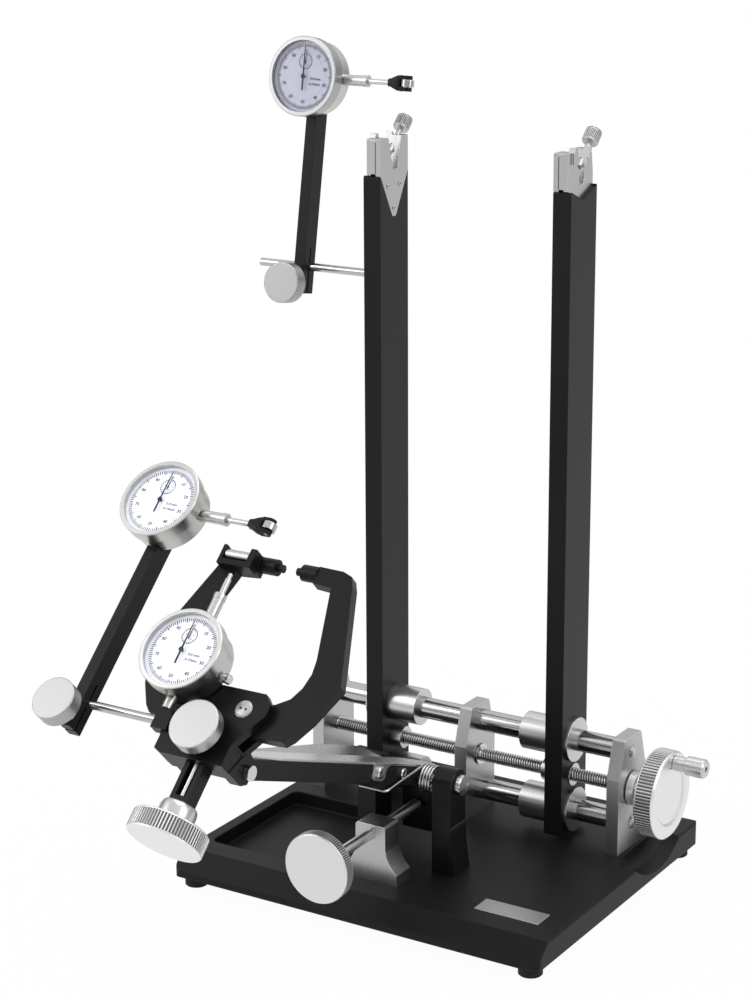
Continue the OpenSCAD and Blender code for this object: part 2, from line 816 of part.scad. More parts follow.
// Two flanged bushes and the screw's nut, pressed into an upright
module carriage_bushes(side) {
    outer_x = post_x + post_t;
    color(silver) sided(side) {
        for (z = [rod_lo, rod_hi]) translate([0, 0, z]) difference() {
            union() {
                rod_x(bush_d, bush_x, post_x);
                rod_x(bush_through_d, post_x, outer_x);
                rod_x(flange_d, outer_x, outer_x + flange_t);
            }
            rod_x(rod_d + 2 * fit, bush_x - cut, outer_x + flange_t + cut);
        }
        translate([0, 0, screw_z]) difference() {
            rod_x(nut_d, post_x - nut_out, outer_x + soft);
            rod_x(screw_d + 2 * fit, post_x - nut_out - cut, outer_x + cut + soft);
        }
    }
}

module carriage_bushes_left() { carriage_bushes(-1); }
module carriage_bushes_right() { carriage_bushes(1); }

// AXLE HEADS

// The pointed plate on the upright's inner face
module vee_outline() {
    polygon([[-head_y, vee_z], [-vee_tip_w, vee_tip + soft], [soft - vee_tip_w, vee_tip],
        [vee_tip_w - soft, vee_tip], [vee_tip_w, vee_tip + soft], [head_y, vee_z],
        [head_y, head_top - soft], [head_y - soft, head_top], [-head_y, head_top]]);
}

// The pointed plate near the upright's outer face
module outer_outline() {
    inset = head_bevel / 6;
    polygon([[-head_y, outer_z], [-inset, outer_tip], [head_y - inset, outer_z],
        [head_y - inset, head_top - head_shoulder], [head_y - head_bevel / 2, head_top - head_bevel / 2],
        [head_y - head_bevel, head_top], [-head_y, head_top]]);
}

// The open notch that the axle drops into
module notch_outline() {
    polygon([[axle_y - notch_low / 2, notch_z], [axle_y + notch_low / 2, notch_z],
        [axle_y + axle_d / 2, axle_z + axle_d / 4], [axle_y + notch_top / 2, tongue_z + cut],
        [axle_y - notch_top / 2, tongue_z + cut]]);
}

module vee_plate(side) {
    color(silver) sided(side) difference() {
        slab_x(post_x, post_x + vee_t) vee_outline();
        slab_x(post_x - cut, post_x + vee_t + cut) notch_outline();
    }
}

module vee_plate_left() { vee_plate(-1); }
module vee_plate_right() { vee_plate(1); }

module axle_head(side) {
    inner_x = post_x + vee_t;
    mid_x = post_x + post_t - outer_in - outer_t;
    face_x = mid_x + outer_t;
    color(silver) sided(side) difference() {
        union() {
            slab_x(inner_x, mid_x) polygon([[-head_y, post_z1], [head_y, post_z1],
                [head_y, head_top - head_shoulder], [head_y - head_bevel, head_top],
                [-head_y + soft, head_top], [-head_y, head_top - soft]]);
            slab_x(mid_x, face_x) outer_outline();
            slab_x(mid_x, face_x + tongue_t) tongue_outline();
        }
        slab_x(inner_x - cut, face_x + 2 * tongue_t) notch_outline();
        // The bore for the thumb screw, which points at the axle's centre
        translate([thumb_x, axle_y, axle_z]) rotate([-thumb_lean, 0, 0])
            rod_z(thumb_pin_d + 2 * fit, 0, thumb_start + thumb_l);
    }
}

// The raised part of the outer plate on both sides of the notch
module tongue_outline() {
    low = head_top - 2 * vee_t;
    polygon([[tongue_front - head_y, low], [head_y - tongue_back, low],
        [head_y - head_bevel, head_top], [head_y - head_bevel - tongue_t, tongue_z - soft],
        [tongue_front + tongue_t - head_y, tongue_z], [tongue_front - head_y, head_top]]);
}

module axle_head_left() { axle_head(-1); }
module axle_head_right() { axle_head(1); }

module thumb_screw(side) {
    color(bright) sided(side) translate([thumb_x, axle_y, axle_z])
        rotate([-thumb_lean, 0, 0]) {
            rod_z(thumb_pin_d, thumb_tip, thumb_start);
            disc_z(thumb_d, thumb_start, thumb_start + thumb_l);
        }
}

module thumb_screw_left() { thumb_screw(-1); }
module thumb_screw_right() { thumb_screw(1); }

// DIAL GAUGES
// A gauge's own frame has x along the stem, y up the dial and z out of the dial.

module gauge_case() {
    rest_d = case_d - 2 * case_wall;
    seat_d = dial_d - 2 * bezel_lip + 2 * soft;
    color(silver) difference() {
        union() {
            disc_z(case_d, -case_back, bezel_back - gap);
            rod_z(seat_d, bezel_back - gap, dial_z - gap);
            rod_z(hub_dial_d, dial_z - gap, dial_z + dial_t);
            rod_x(stem_d, case_d / 2 - case_wall, stem_end);
            rod_x(stem_d + soft, stem_end, stem_end + collar_end);
            rod_x(stem_d - 2 * soft, -cap_end, -case_d / 2 + case_wall);
        }
        rod_z(rest_d, case_wall - case_back, bezel_back - case_wall);
        rod_x(plunger_d + 2 * fit, cap_rest(), stem_end + collar_end + cut);
        rod_z(arbor_d + 2 * fit, 0, dial_front);
        translate([0, small_up, 0]) rod_z(arbor_d + 2 * fit, 0, dial_front);
    }
}

arbor_d = 1.6;
collar_end = 3.6;
foot_low = 14;
function cap_rest() = cut - cap_end;

// A case whose small-dial arbor stays up while its stem points up too
module gauge_case_up() {
    rest_d = case_d - 2 * case_wall;
    seat_d = dial_d - 2 * bezel_lip + 2 * soft;
    color(silver) difference() {
        union() {
            disc_z(case_d, -case_back, bezel_back - gap);
            rod_z(seat_d, bezel_back - gap, dial_z - gap);
            rod_z(hub_dial_d, dial_z - gap, dial_z + dial_t);
            rod_y(stem_d, case_d / 2 - case_wall, stem_end);
            rod_y(stem_d + soft, stem_end, stem_end + collar_end);
            rod_y(stem_d - 2 * soft, -cap_end, -case_d / 2 + case_wall);
            // The foot that the case stands on
            translate([0, -foot_low, 0]) rod_z(2 * stud_d, hub_front - centre_w, case_wall - case_back);
        }
        rod_z(rest_d, case_wall - case_back, bezel_back - case_wall);
        rod_y(plunger_d + 2 * fit, cap_rest(), stem_end + collar_end + cut);
        rod_z(arbor_d + 2 * fit, 0, dial_front);
        translate([0, small_up, 0]) rod_z(arbor_d + 2 * fit, 0, dial_front);
    }
}

module gauge_bezel() {
    seat_d = dial_d - 2 * bezel_lip + 2 * soft;
    color(bright) difference() {
        union() {
            difference() {
                disc_z(dial_d, bezel_back, dial_front);
                rod_z(seat_d + 2 * fit, bezel_back - cut, dial_z + dial_t);
                rod_z(dial_d - 2 * bezel_lip, dial_z, dial_front + cut);
            }
        }
    }
    color("#eceef2") difference() {
        rod_z(seat_d + 2 * fit, dial_z, dial_z + dial_t);
        rod_z(hub_dial_d + 2 * gap, 0, dial_front);
    }
}

module gauge_pointer() {
    z = dial_z + dial_t + pointer_rise;
    color("#202226") {
        translate([0, 0, z]) linear_extrude(pointer_t)
            polygon([[-soft, -pointer_tail], [soft, -pointer_tail], [soft, 0],
                [soft / 3, pointer_l], [-soft / 3, pointer_l], [-soft, 0]]);
        rod_z(arbor_d, bezel_back - case_wall, z);
        rod_z(2 * arbor_d, z, z + 2 * pointer_t);
    }
}

module gauge_small_hand() {
    z = dial_z + dial_t + gap;
    color("#202226") translate([0, small_up, 0]) {
        translate([0, 0, z]) linear_extrude(pointer_t)
            polygon([[-soft / 2, -small_l / 2], [soft / 2, -small_l / 2],
                [soft / 3, small_l], [-soft / 3, small_l]]);
        rod_z(arbor_d, bezel_back - case_wall, z);
    }
}

// The plunger with its roller fork
module gauge_plunger() {
    prong_t = (fork_h - roller_t) / 2 - gap;
    end = roller_x + roller_d / 2;
    color(bright) {
        rod_x(plunger_d, -case_d / 2 + 2 * case_wall, fork_start + soft);
    }
    color(black) {
        translate([fork_start, -fork_w / 2, -fork_w / 2])
            cube([roller_x - roller_d / 2 - gap - fork_start, fork_w, fork_w]);
        for (s = [-1, 1]) translate([roller_x - roller_d / 2 - 2 * gap - stem_d / 2,
            s * (fork_h - prong_t) / 2 - prong_t / 2, -fork_w / 2])
            cube([roller_d + gap + stem_d / 2, prong_t, fork_w]);
    }
}

module gauge_roller() {
    color(silver) translate([roller_x, 0, 0]) rod_y(roller_d, -roller_t / 2, roller_t / 2);
}

// The bar that clamps on a rod and carries a case at its top.
// Its frame has the rod's axis along x, the bar along y and z towards the user.
module gauge_bar(up) {
    lap_z = bar_back - case_back;
    shoulder = up - case_d / 2 - gap;
    color(black) difference() {
        union() {
            translate([-bar_w / 2, -bar_low, -bar_d / 2])
                cube([bar_w, bar_low + shoulder, bar_d]);
            translate([-bar_w / 2, shoulder - soft, -bar_d / 2])
                cube([bar_w, case_d / 2 + stem_d + soft, bar_d / 2 + lap_z]);
        }
        rod_x(arm_rod_d + 2 * fit, -bar_w, bar_w);
        translate([-bar_w, -bar_low - cut, -slit_w / 2])
            cube([2 * bar_w, bar_low + cut + slit_up, slit_w]);
        translate([0, -knob_low, 0]) rod_z(stud_d + 2 * fit, -bar_d, bar_d);
    }
}

stud_d = 5;

module gauge_knob() {
    color(silver) translate([0, -knob_low, 0]) {
        rod_z(stud_d, -bar_d / 2, knob_face - knob_t);
        rod_z(2 * stud_d, bar_d / 2 + gap, knob_face - knob_t);
        disc_z(knob_d, knob_face - knob_t, knob_face);
    }
}

module at_upper() {
    translate([-upper_x, 0, upper_z]) rotate([90 - upper_lean, 0, 0]) children();
}

module at_upper_dial() {
    at_upper() translate([0, upper_up, bar_back]) children();
}

module upper_rod() {
    color(bright) translate([0, 0, upper_z]) rod_x(arm_rod_d, -upper_end, -post_x - rod_wall - gap);
}

module upper_bar() { at_upper() gauge_bar(upper_up); }
module upper_knob() { at_upper() gauge_knob(); }
module upper_case() { at_upper_dial() gauge_case(); }
module upper_bezel() { at_upper_dial() gauge_bezel(); }
module upper_pointer() { at_upper_dial() gauge_pointer(); }
module upper_small_hand() { at_upper_dial() gauge_small_hand(); }
module upper_plunger() { at_upper_dial() gauge_plunger(); }
module upper_roller() { at_upper_dial() gauge_roller(); }

// CALIPER HEAD
// Its frame has x to the right, y rising towards the axle and z out of its front.

module at_head() {
    translate([0, -head_front, head_z]) rotate([head_rise, 0, 0]) children();
}

module at_side() {
    at_head() translate([-side_x, -side_y, side_w]) children();
}

module at_side_dial() {
    at_side() translate([0, side_up, bar_back]) children();
}

module at_centre_dial() {
    at_head() translate([-centre_x, -centre_y, centre_w]) children();
}

module side_rod() {
    color(bright) at_head() translate([0, -side_y, side_w])
        rod_x(arm_rod_d, -side_x - bar_w, rod_boss_in - hub_w - rod_boss_l - gap);
}

module side_bar() { at_side() gauge_bar(side_up); }
module side_knob() { at_side() gauge_knob(); }
module side_case() { at_side_dial() gauge_case(); }
module side_bezel() { at_side_dial() gauge_bezel(); }
module side_pointer() { at_side_dial() gauge_pointer(); }
module side_small_hand() { at_side_dial() gauge_small_hand(); }
module side_plunger() { at_side_dial() gauge_plunger(); }
module side_roller() { at_side_dial() gauge_roller(); }

module centre_case() { at_centre_dial() gauge_case_up(); }
module centre_bezel() { at_centre_dial() gauge_bezel(); }
module centre_pointer() { at_centre_dial() gauge_pointer(); }
module centre_small_hand() { at_centre_dial() gauge_small_hand(); }

module centre_plunger() {
    color(bright) at_centre_dial() {
        rod_y(plunger_d, -case_d / 2 + 2 * case_wall, centre_tip - stem_d / 2);
        rod_y(plunger_d - 2 * soft, centre_tip - stem_d / 2 - soft, centre_tip);
    }
}

// The right caliper arm's outline in the head's frame
module arm_outline() {
    lug = 11;
    polygon([[cal_x - lug, -cal_y - lug], [cal_x, -cal_y - 13.8], [43.4, -118.9], [51, -118.4],
        [55.5, -114], [63.7, -100], [74, -74.5], [51, -5], [47.5, 1.5], [40.3, 4], [22, 4.5],
        [22, -8], [36.5, -9.1], [49.4, -59.9], [50.5, -70], [48.5, -80.6], [43.8, -89.3],
        [32.7, -96.7], [cal_x + 5, -cal_y + lug], [cal_x - 5, -cal_y + lug],
        [cal_x - lug, -cal_y + 5]]);
}

module caliper_arm(side) {
    color(black) sided(side) difference() {
        union() {
            translate([0, 0, -cal_t / 2]) linear_extrude(cal_t) arm_outline();
            rod_x(tip_boss_d, tip_gap + soft + cal_t / 2, tip_gap + soft + cal_t / 2 + tip_boss_l);
        }
        translate([cal_x, -cal_y, 0]) rod_z(arm_screw_d + 2 * fit, -cal_t, cal_t);
        rod_x(tip_d, tip_gap, tip_gap + tip_boss_l + cal_t / 2);
    }
    color(bright) sided(side) rod_x(tip_d, tip_gap, tip_gap + tip_boss_l);
}

module caliper_arm_right() { at_head() caliper_arm(1); }

// The left arm also carries the block with the feeler roller
module caliper_arm_left() {
    at_head() {
        caliper_arm(-1);
        color(black) difference() {
            translate([-feeler_x, -feeler_low, cal_t / 2]) cube([feeler_w, feeler_y, feeler_h]);
            translate([feeler_wall - feeler_x, feeler_web - feeler_low, cal_t / 2 - cut])
                cube([feeler_gap_w, feeler_y, feeler_h + 2 * cut]);
        }
    }
}

module feeler_roller() {
    near = feeler_wall - feeler_x;
    color(silver) at_head() translate([0, -feeler_axis, cal_t + feeler_axis])
        rod_x(feeler_d, near + soft, near + feeler_gap_w - soft);
}

module arm_screws() {
    color(silver) at_head() for (s = [-1, 1]) translate([s * cal_x, -cal_y, 0]) {
        rod_z(arm_screw_d, -hub_back, hub_front - cut);
        rod_z(arm_head_d, hub_front - cut, hub_front + gap);
    }
}

// The hub's outline seen from its front
module hub_outline() {
    lip_w = hub_w - lip_in;
    step = hub_low - hub_lip;
    polygon([[hub_bevel - hub_w, -hub_top], [-hub_w, -hub_top - hub_bevel], [-hub_w, -hub_step_y],
        [-lip_w, rod_boss_w - step], [-lip_w, -step - hub_lip / 2], [lip_in - lip_w, -hub_low],
        [hub_low_w, -hub_low], [hub_low_w, -hub_low + hub_slope], [hub_w, -hub_wide_y],
        [hub_w, -hub_top - hub_bevel], [hub_w - hub_bevel, -hub_top]]);
}

module caliper_hub() {
    slot = cal_t / 2 + gap;
    boss_end = hub_w + rod_boss_l - rod_boss_in;
    color(black) at_head() difference() {
        union() {
            // The raised boss that the side gauge's rod slides in
            translate([-hub_w - rod_boss_l, -side_y - rod_boss_w, slot + fit])
                cube([rod_boss_in, 2 * rod_boss_w, side_w + arm_rod_d - slot - cut]);
            translate([0, 0, -hub_back]) linear_extrude(hub_front + hub_back) hub_outline();
            for (x = [-cheek_x, cheek_x - cheek_t]) slab_x(x, x + cheek_t)
                polygon([[-hub_low, 0], [cheek_up - clevis_y, -hub_back],
                    [cheek_t - clevis_y, -clevis_back - clevis_d],
                    [-clevis_y - clevis_d, -clevis_back - clevis_d], [-hub_low, -clevis_back]]);
        }
        translate([-2 * hub_w, -arm_slot_y, -slot]) cube([4 * hub_w, arm_slot_y - 2 * hub_bevel, 2 * slot]);
        translate([-slide_w - gap, -2 * hub_low, slide_w0 - gap])
            cube([2 * (slide_w + gap), 2 * hub_low, slide_t + 2 * gap]);
        for (s = [-1, 1]) translate([s * cal_x, -cal_y, 0]) {
            rod_z(arm_screw_d, -hub_back - cut, hub_front + cut);
            rod_z(arm_head_d, hub_front - cut, hub_front + cut);
        }
        translate([0, -clevis_y, -clevis_back]) rod_x(clevis_d, -hub_w, hub_w);
        translate([0, -side_y, side_w])
            rod_x(arm_rod_d + 2 * fit, -hub_w - rod_boss_l - cut, -boss_end + gap);
    }
}

module clevis_bolt() {
    head = cheek_x + gap;
    color(silver) at_head() translate([0, -clevis_y, -clevis_back]) {
        rod_x(clevis_d - 2 * fit, -cheek_x - 2 * cut, head);
        rod_x(clevis_head_d, head, head + clevis_head_t);
    }
}

module caliper_slide() {
    color(black) at_head() {
        translate([-slide_w, -slide_low, slide_w0]) cube([2 * slide_w, slide_low - slide_top, slide_t]);
        translate([0, 0, slide_axis]) rod_y(collar_d, -slide_low - collar_l, -slide_low);
    }
}

module caliper_wheel() {
    low = -slide_low - collar_l - gap;
    color(silver) at_head() translate([0, 0, slide_axis]) rotate([-90, 0, 0])
        disc_z(cal_wheel_d, low - cal_wheel_t, low);
}

module hub_knob() {
    color(silver) at_head() translate([0, -hub_knob_y, 0]) {
        rod_z(hub_stud_d, hub_front + gap, hub_knob_face - hub_knob_t);
        disc_z(hub_knob_d, hub_knob_face - hub_knob_t, hub_knob_face);
    }
}

// POSTS, MAIN ARM AND ADJUSTER

module pivot_posts() {
    color(black) difference() {
        union() {
            pillar(post_right);
            mirror([1, 0, 0]) pillar(post_left);
        }
        translate([0, -pivot_y, pivot_z]) rod_x(pivot_d, -2 * post_right, 2 * post_right);
    }
}

// A post whose inner side is at x
module pillar(x) {
    out = x + pillar_t;
    intersection() {
        slab_x(x, out + pillar_flare) polygon([[-pivot_y - pillar_y, top_z],
            [-pivot_y + pillar_y, top_z], [-pivot_y + pillar_y, pillar_top - soft],
            [-pivot_y + pillar_y - soft, pillar_top], [-pivot_y - pillar_y + pillar_bevel, pillar_top],
            [-pivot_y - pillar_y, pillar_top - pillar_bevel]]);
        translate([0, pillar_y - pivot_y, 0]) rotate([90, 0, 0]) linear_extrude(2 * pillar_y)
            polygon([[x, top_z], [out + pillar_flare, top_z], [out, pillar_flare_z],
                [out, pillar_top], [x, pillar_top]]);
    }
}

module pivot_bolt() {
    head = post_right + pillar_t;
    color(silver) translate([0, -pivot_y, pivot_z]) {
        rod_x(pivot_d - 2 * fit, -post_left - pillar_t - bolt_out, head);
        difference() {
            rotate([0, 90, 0]) disc_z(bolt_head_d, head, head + bolt_head_t);
            translate([head + bolt_head_t - bolt_slot, -bolt_head_d, -bolt_slot / 2])
                cube([bolt_slot + cut, 2 * bolt_head_d, bolt_slot]);
        }
    }
}

module at_arm() {
    translate([0, -pivot_y, pivot_z]) rotate([-arm_rise, 0, 0]) children();
}

module main_arm() {
    low = -arm_h / 2;
    color(black) difference() {
        union() {
            at_arm() {
                translate([-arm_w, -arm_l, low]) cube([2 * arm_w, arm_l, arm_h]);
                translate([0, -arm_l, 0]) rod_x(arm_h, -arm_w, arm_w);
                rod_x(arm_h, -arm_w, arm_w);
                // The yoke that the spring's hook holds up
                slab_x(soft - arm_w, arm_w - soft) polygon([[-yoke_y - yoke_l, soft], [-yoke_y - yoke_l, soft + low],
                    [-yoke_y - yoke_l / 2, soft - yoke_low], [-yoke_y - yoke_l / 4, -yoke_low],
                    [-yoke_y + yoke_l / 3, -yoke_low], [-yoke_y + yoke_l, soft + low], [-yoke_y + yoke_l, soft]]);
            }
            // The leg that the adjuster screw pushes
            translate([0, -pivot_y, pivot_z]) slab_x(soft - arm_w, arm_w - soft)
                polygon([[-leg_root, 0], [leg_root, 0], [leg_back + leg_t, -leg_root],
                    [leg_back + leg_t, -leg_l], [leg_back, -leg_l], [leg_back, -leg_root - 2 * cut]]);
        }
        translate([0, -pivot_y, pivot_z]) rod_x(pivot_d, -2 * arm_w, 2 * arm_w);
        at_arm() translate([0, -arm_l, 0]) rod_x(clevis_d, -2 * arm_w, 2 * arm_w);
    }
}

module arm_cover() {
    top = arm_h / 2;
    color(silver) at_arm() {
        translate([0, 0, top]) linear_extrude(cover_t)
            polygon([[-arm_w, -cover_mid], [-cover_nose, -cover_front], [cover_nose, -cover_front],
                [arm_w, -cover_mid], [arm_w, cover_back - arm_w], [cover_nose, cover_back],
                [-cover_nose, cover_back], [-arm_w, cover_back - arm_w]]);
        for (x = [-arm_w - cover_t, arm_w]) slab_x(x, x + cover_t) ear_outline();
    }
}

// An ear bent down over the arm's side
module ear_outline() {
    top = arm_h / 2 + cover_t;
    polygon(concat([[-ear_y + 2 * ear_w, top], [-ear_y - ear_w, top]],
        arc_points([ear_w / 2 - ear_y - ear_w, top - ear_h], ear_w / 2, 180, 270),
        arc_points([-ear_y + ear_w / 2, top - ear_h], ear_w / 2, 270, 330),
        [[-ear_y + ear_w, top - ear_h / 2], [-ear_y + 4 * ear_w / 3, top - cover_t]]));
}

// The wire's centre line: a hook under the arm, a leg beside it, the coil, and a leg to the post
wire_r = (coil_d - wire_d) / 2;
curl_rings = 8;
wire_sides = 6;
coil_x = (arm_w + post_right - coil_turns * coil_pitch) / 2;
coil_end = coil_x + coil_turns * coil_pitch;
wire_bend = coil_x - arm_w - wire_d - fit;
bend_in = wire_bend * (1 - cos(45));
hook_low = -yoke_low - wire_d / 2 - fit;
hook = [hook_low * sin(arm_rise) - yoke_y * cos(arm_rise), hook_low * cos(arm_rise) + yoke_y * sin(arm_rise)];
wire_path = concat(
    [[hook_x, hook[0], hook[1]], [coil_x - wire_bend, hook[0], hook[1]],
        [coil_x - bend_in, hook[0] + bend_in, hook[1]], [coil_x, hook[0] + wire_bend, hook[1]]],
    [for (i = [0:coil_turns * curl_rings]) let (turn = i / curl_rings)
        [coil_x + turn * coil_pitch, wire_r * sin(360 * turn), wire_r * cos(360 * turn)]],
    [[coil_end, wire_bend - leg_post_y, -wire_r], [coil_end + bend_in, bend_in - leg_post_y, -wire_r],
        [coil_end + wire_bend, -leg_post_y, -wire_r], [post_right, -leg_post_y, -wire_r]]);

function across(v, along) = unit(v - (v * along) * along);

// The direction of a path at one of its points
function path_along(p, i) = unit(p[min(i + 1, len(p) - 1)] - p[max(i - 1, 0)]);

// One direction square to the path at each point, carried along without twist
function path_side(p) = [for (i = 0, s = across([0, 0, 1], path_along(p, 0)); i < len(p);
    i = i + 1, s = i < len(p) ? across(s, path_along(p, i)) : s) s];

// A round tube swept along a path
module tube(p, d, sides) {
    side = path_side(p);
    points = [for (i = [0:len(p) - 1], k = [0:sides - 1])
        let (up = cross(path_along(p, i), side[i]), a = 360 * k / sides)
        p[i] + d / 2 * (cos(a) * side[i] + sin(a) * up)];
    walls = [for (i = [0:len(p) - 2], k = [0:sides - 1])
        let (a = i * sides + k, b = i * sides + (k + 1) % sides)
        each [[a, b, b + sides], [a, b + sides, a + sides]]];
    last = (len(p) - 1) * sides;
    caps = [for (k = [1:sides - 2]) each [[0, k + 1, k], [last, last + k, last + k + 1]]];
    polyhedron(points, concat(walls, caps));
}

// The least distance between turns, less the wire's diameter
spring_gap = min([for (i = [0:len(wire_path) - 1], j = [0:len(wire_path) - 1])
    if (j > i + curl_rings / 2) norm(wire_path[j] - wire_path[i])]) - wire_d;
echo(least_gap_between_turns = spring_gap);

module torsion_spring() {
    color("#6e7073") translate([0, -pivot_y, pivot_z]) tube(wire_path, wire_d, wire_sides);
}

// One side of the block, from its foot to its top
function adj_side() = concat([[adj_foot_w, top_z], [adj_foot_w, top_z + adj_foot]],
    [for (i = [arc_steps - 1:-1:0]) let (a = adj_curve_turn * i / arc_steps)
        [adj_w + (adj_foot_w - adj_w) * (1 - cos(a)) / (1 - cos(adj_curve_turn)),
            top_z + adj_foot + adj_curve * (1 - sin(a) / sin(adj_curve_turn))]],
    [[adj_w, adj_top - adj_bevel], [adj_w - adj_bevel, adj_top]]);

module adjuster_block() {
    side = adj_side();
    last = len(side) - 1;
    color(silver) difference() {
        translate([0, -adj_back, 0]) rotate([90, 0, 0]) linear_extrude(adj_t)
            polygon(concat(side, [for (i = [last:-1:0]) [-side[i][0], side[i][1]]]));
        translate([0, 0, adj_z]) rod_y(adj_d + 2 * fit, -adj_back - adj_t - cut, -adj_back + cut);
    }
}

module adjuster_screw() {
    face = leg_back - pivot_y;
    color(bright) translate([0, 0, adj_z]) {
        rod_y(adj_d, -adj_face + adj_knob_t, face - adj_tip_l);
        translate([0, face - fit - adj_tip_d / 2, 0]) sphere(d = adj_tip_d);
    }
}

module adjuster_knob() {
    color(silver) translate([0, 0, adj_z]) rotate([-90, 0, 0])
        disc_z(adj_knob_d, -adj_face, -adj_face + adj_knob_t);
}

base_plate();
rubber_feet();
end_plate_left();
end_plate_right();
centre_plate();
guide_rods();
lead_screw();
handwheel();
crank_grip();
upright_left();
upright_right();
carriage_bushes_left();
carriage_bushes_right();
axle_head_left();
axle_head_right();
vee_plate_left();
vee_plate_right();
thumb_screw_left();
thumb_screw_right();
upper_rod();
upper_bar();
upper_knob();
upper_case();
upper_bezel();
upper_pointer();
upper_small_hand();
upper_plunger();
upper_roller();
side_rod();
side_bar();
side_knob();
side_case();
side_bezel();
side_pointer();
side_small_hand();
side_plunger();
side_roller();
centre_case();
centre_bezel();
centre_pointer();
centre_small_hand();
centre_plunger();
pivot_posts();
pivot_bolt();
main_arm();
arm_cover();
torsion_spring();
adjuster_block();
adjuster_screw();
adjuster_knob();
caliper_hub();
clevis_bolt();
caliper_slide();
caliper_wheel();
hub_knob();
caliper_arm_left();
caliper_arm_right();
arm_screws();
feeler_roller();
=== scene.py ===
# %% [markdown]
# Dressing a bench stand for truing bicycle wheels. The stand arrives as plain solids, one for each part,
# and this lesson gives them the finishes of the real thing: black powder coat, machined aluminium, ground
# steel rods, rolled threads, knurled rims and printed dials. Blender works in metres, with X to the
# right, Y away from the user and Z up. The studio and the finishes are given in metres. Shapes are drawn
# in millimetres and scaled by MM where they are placed.

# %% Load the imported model
import math

import bmesh
import bpy
from mathutils import Matrix, Vector


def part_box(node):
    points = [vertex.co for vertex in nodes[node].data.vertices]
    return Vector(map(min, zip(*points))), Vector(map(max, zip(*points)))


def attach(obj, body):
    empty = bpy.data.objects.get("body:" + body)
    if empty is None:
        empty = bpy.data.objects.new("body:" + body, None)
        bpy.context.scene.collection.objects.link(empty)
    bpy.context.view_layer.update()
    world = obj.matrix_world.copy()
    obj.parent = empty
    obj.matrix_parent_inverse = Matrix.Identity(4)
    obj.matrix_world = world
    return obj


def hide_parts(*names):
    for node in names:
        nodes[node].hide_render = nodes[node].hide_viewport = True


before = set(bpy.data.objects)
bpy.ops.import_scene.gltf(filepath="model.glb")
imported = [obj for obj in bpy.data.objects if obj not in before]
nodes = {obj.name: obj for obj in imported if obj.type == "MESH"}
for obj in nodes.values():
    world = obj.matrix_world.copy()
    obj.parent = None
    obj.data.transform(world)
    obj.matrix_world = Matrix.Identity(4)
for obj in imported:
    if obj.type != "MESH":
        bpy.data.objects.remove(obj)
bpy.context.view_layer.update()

MM = 0.001
collection = bpy.context.scene.collection

# %% [markdown]
# The camera looks from the right of the stand's front and from a little above. A long lens keeps the two
# uprights nearly parallel. A constraint could aim it, but three angles and a place fix the view exactly,
# so its axes are worked out from them.

# %% Camera
azimuth, elevation, roll = math.radians(32.0), math.radians(15.77), math.radians(-0.3)
camera_place = Vector((847.35, -1495.33, 754.07)) * MM
focal_length, sensor_width = 88.16, 36
forward = Vector((-math.sin(azimuth) * math.cos(elevation), math.cos(azimuth) * math.cos(elevation),
                  -math.sin(elevation)))
level = Vector((math.cos(azimuth), math.sin(azimuth), 0))
right = level * math.cos(roll) + level.cross(forward) * math.sin(roll)
axes = Matrix((right, right.cross(forward), -forward)).transposed()
camera = bpy.data.objects.new("camera", bpy.data.cameras.new("camera"))
collection.objects.link(camera)
camera.matrix_world = Matrix.Translation(camera_place) @ axes.to_4x4()
camera.data.lens = focal_length
camera.data.sensor_width = sensor_width
camera.data.clip_end = 50
bpy.context.scene.camera = camera
print("camera at", camera.location)

# %% [markdown]
# The surround. The camera sees it white, and shiny metal sees it in grey bands, which draw light and dark
# stripes along rods and rims. It lights the stand with neither of them but with a weaker even light,
# because a surround that bright would wash the black paint out. An image of a studio is often used
# instead, but this file reads nothing from disk.

# %% Surround
def math_node(tree, kind, a, b=None, clamp=False):
    """One Math node; a and b are numbers or the sockets that feed it."""
    node = tree.nodes.new("ShaderNodeMath")
    node.operation = kind
    node.use_clamp = clamp
    for i, v in enumerate((a, b)):
        if v is None:
            continue
        if isinstance(v, (int, float)):
            node.inputs[i].default_value = v
        else:
            tree.links.new(v, node.inputs[i])
    return node.outputs[0]


def mixed(tree, factor, first, second):
    mix = tree.nodes.new("ShaderNodeMixShader")
    tree.links.new(factor, mix.inputs[0])
    tree.links.new(first.outputs[0], mix.inputs[1])
    tree.links.new(second.outputs[0], mix.inputs[2])
    return mix


def seen_instead(tree, plain, shown):
    """Swaps in the second shader where the camera, a reflection or glass looks at the surface."""
    path = tree.nodes.new("ShaderNodeLightPath")
    seen = path.outputs["Is Camera Ray"]
    for ray in ("Is Transmission Ray", "Is Glossy Ray"):
        seen = math_node(tree, "MAXIMUM", seen, path.outputs[ray])
    return mixed(tree, seen, plain, shown)


scene = bpy.context.scene
scene.view_settings.view_transform = "Standard"
world = bpy.data.worlds.new("studio")
scene.world = world
world.use_nodes = True
sky = world.node_tree
sky.nodes.clear()


def background(colour, strength):
    node = sky.nodes.new("ShaderNodeBackground")
    node.inputs["Color"].default_value = (*colour, 1)
    node.inputs["Strength"].default_value = strength
    return node


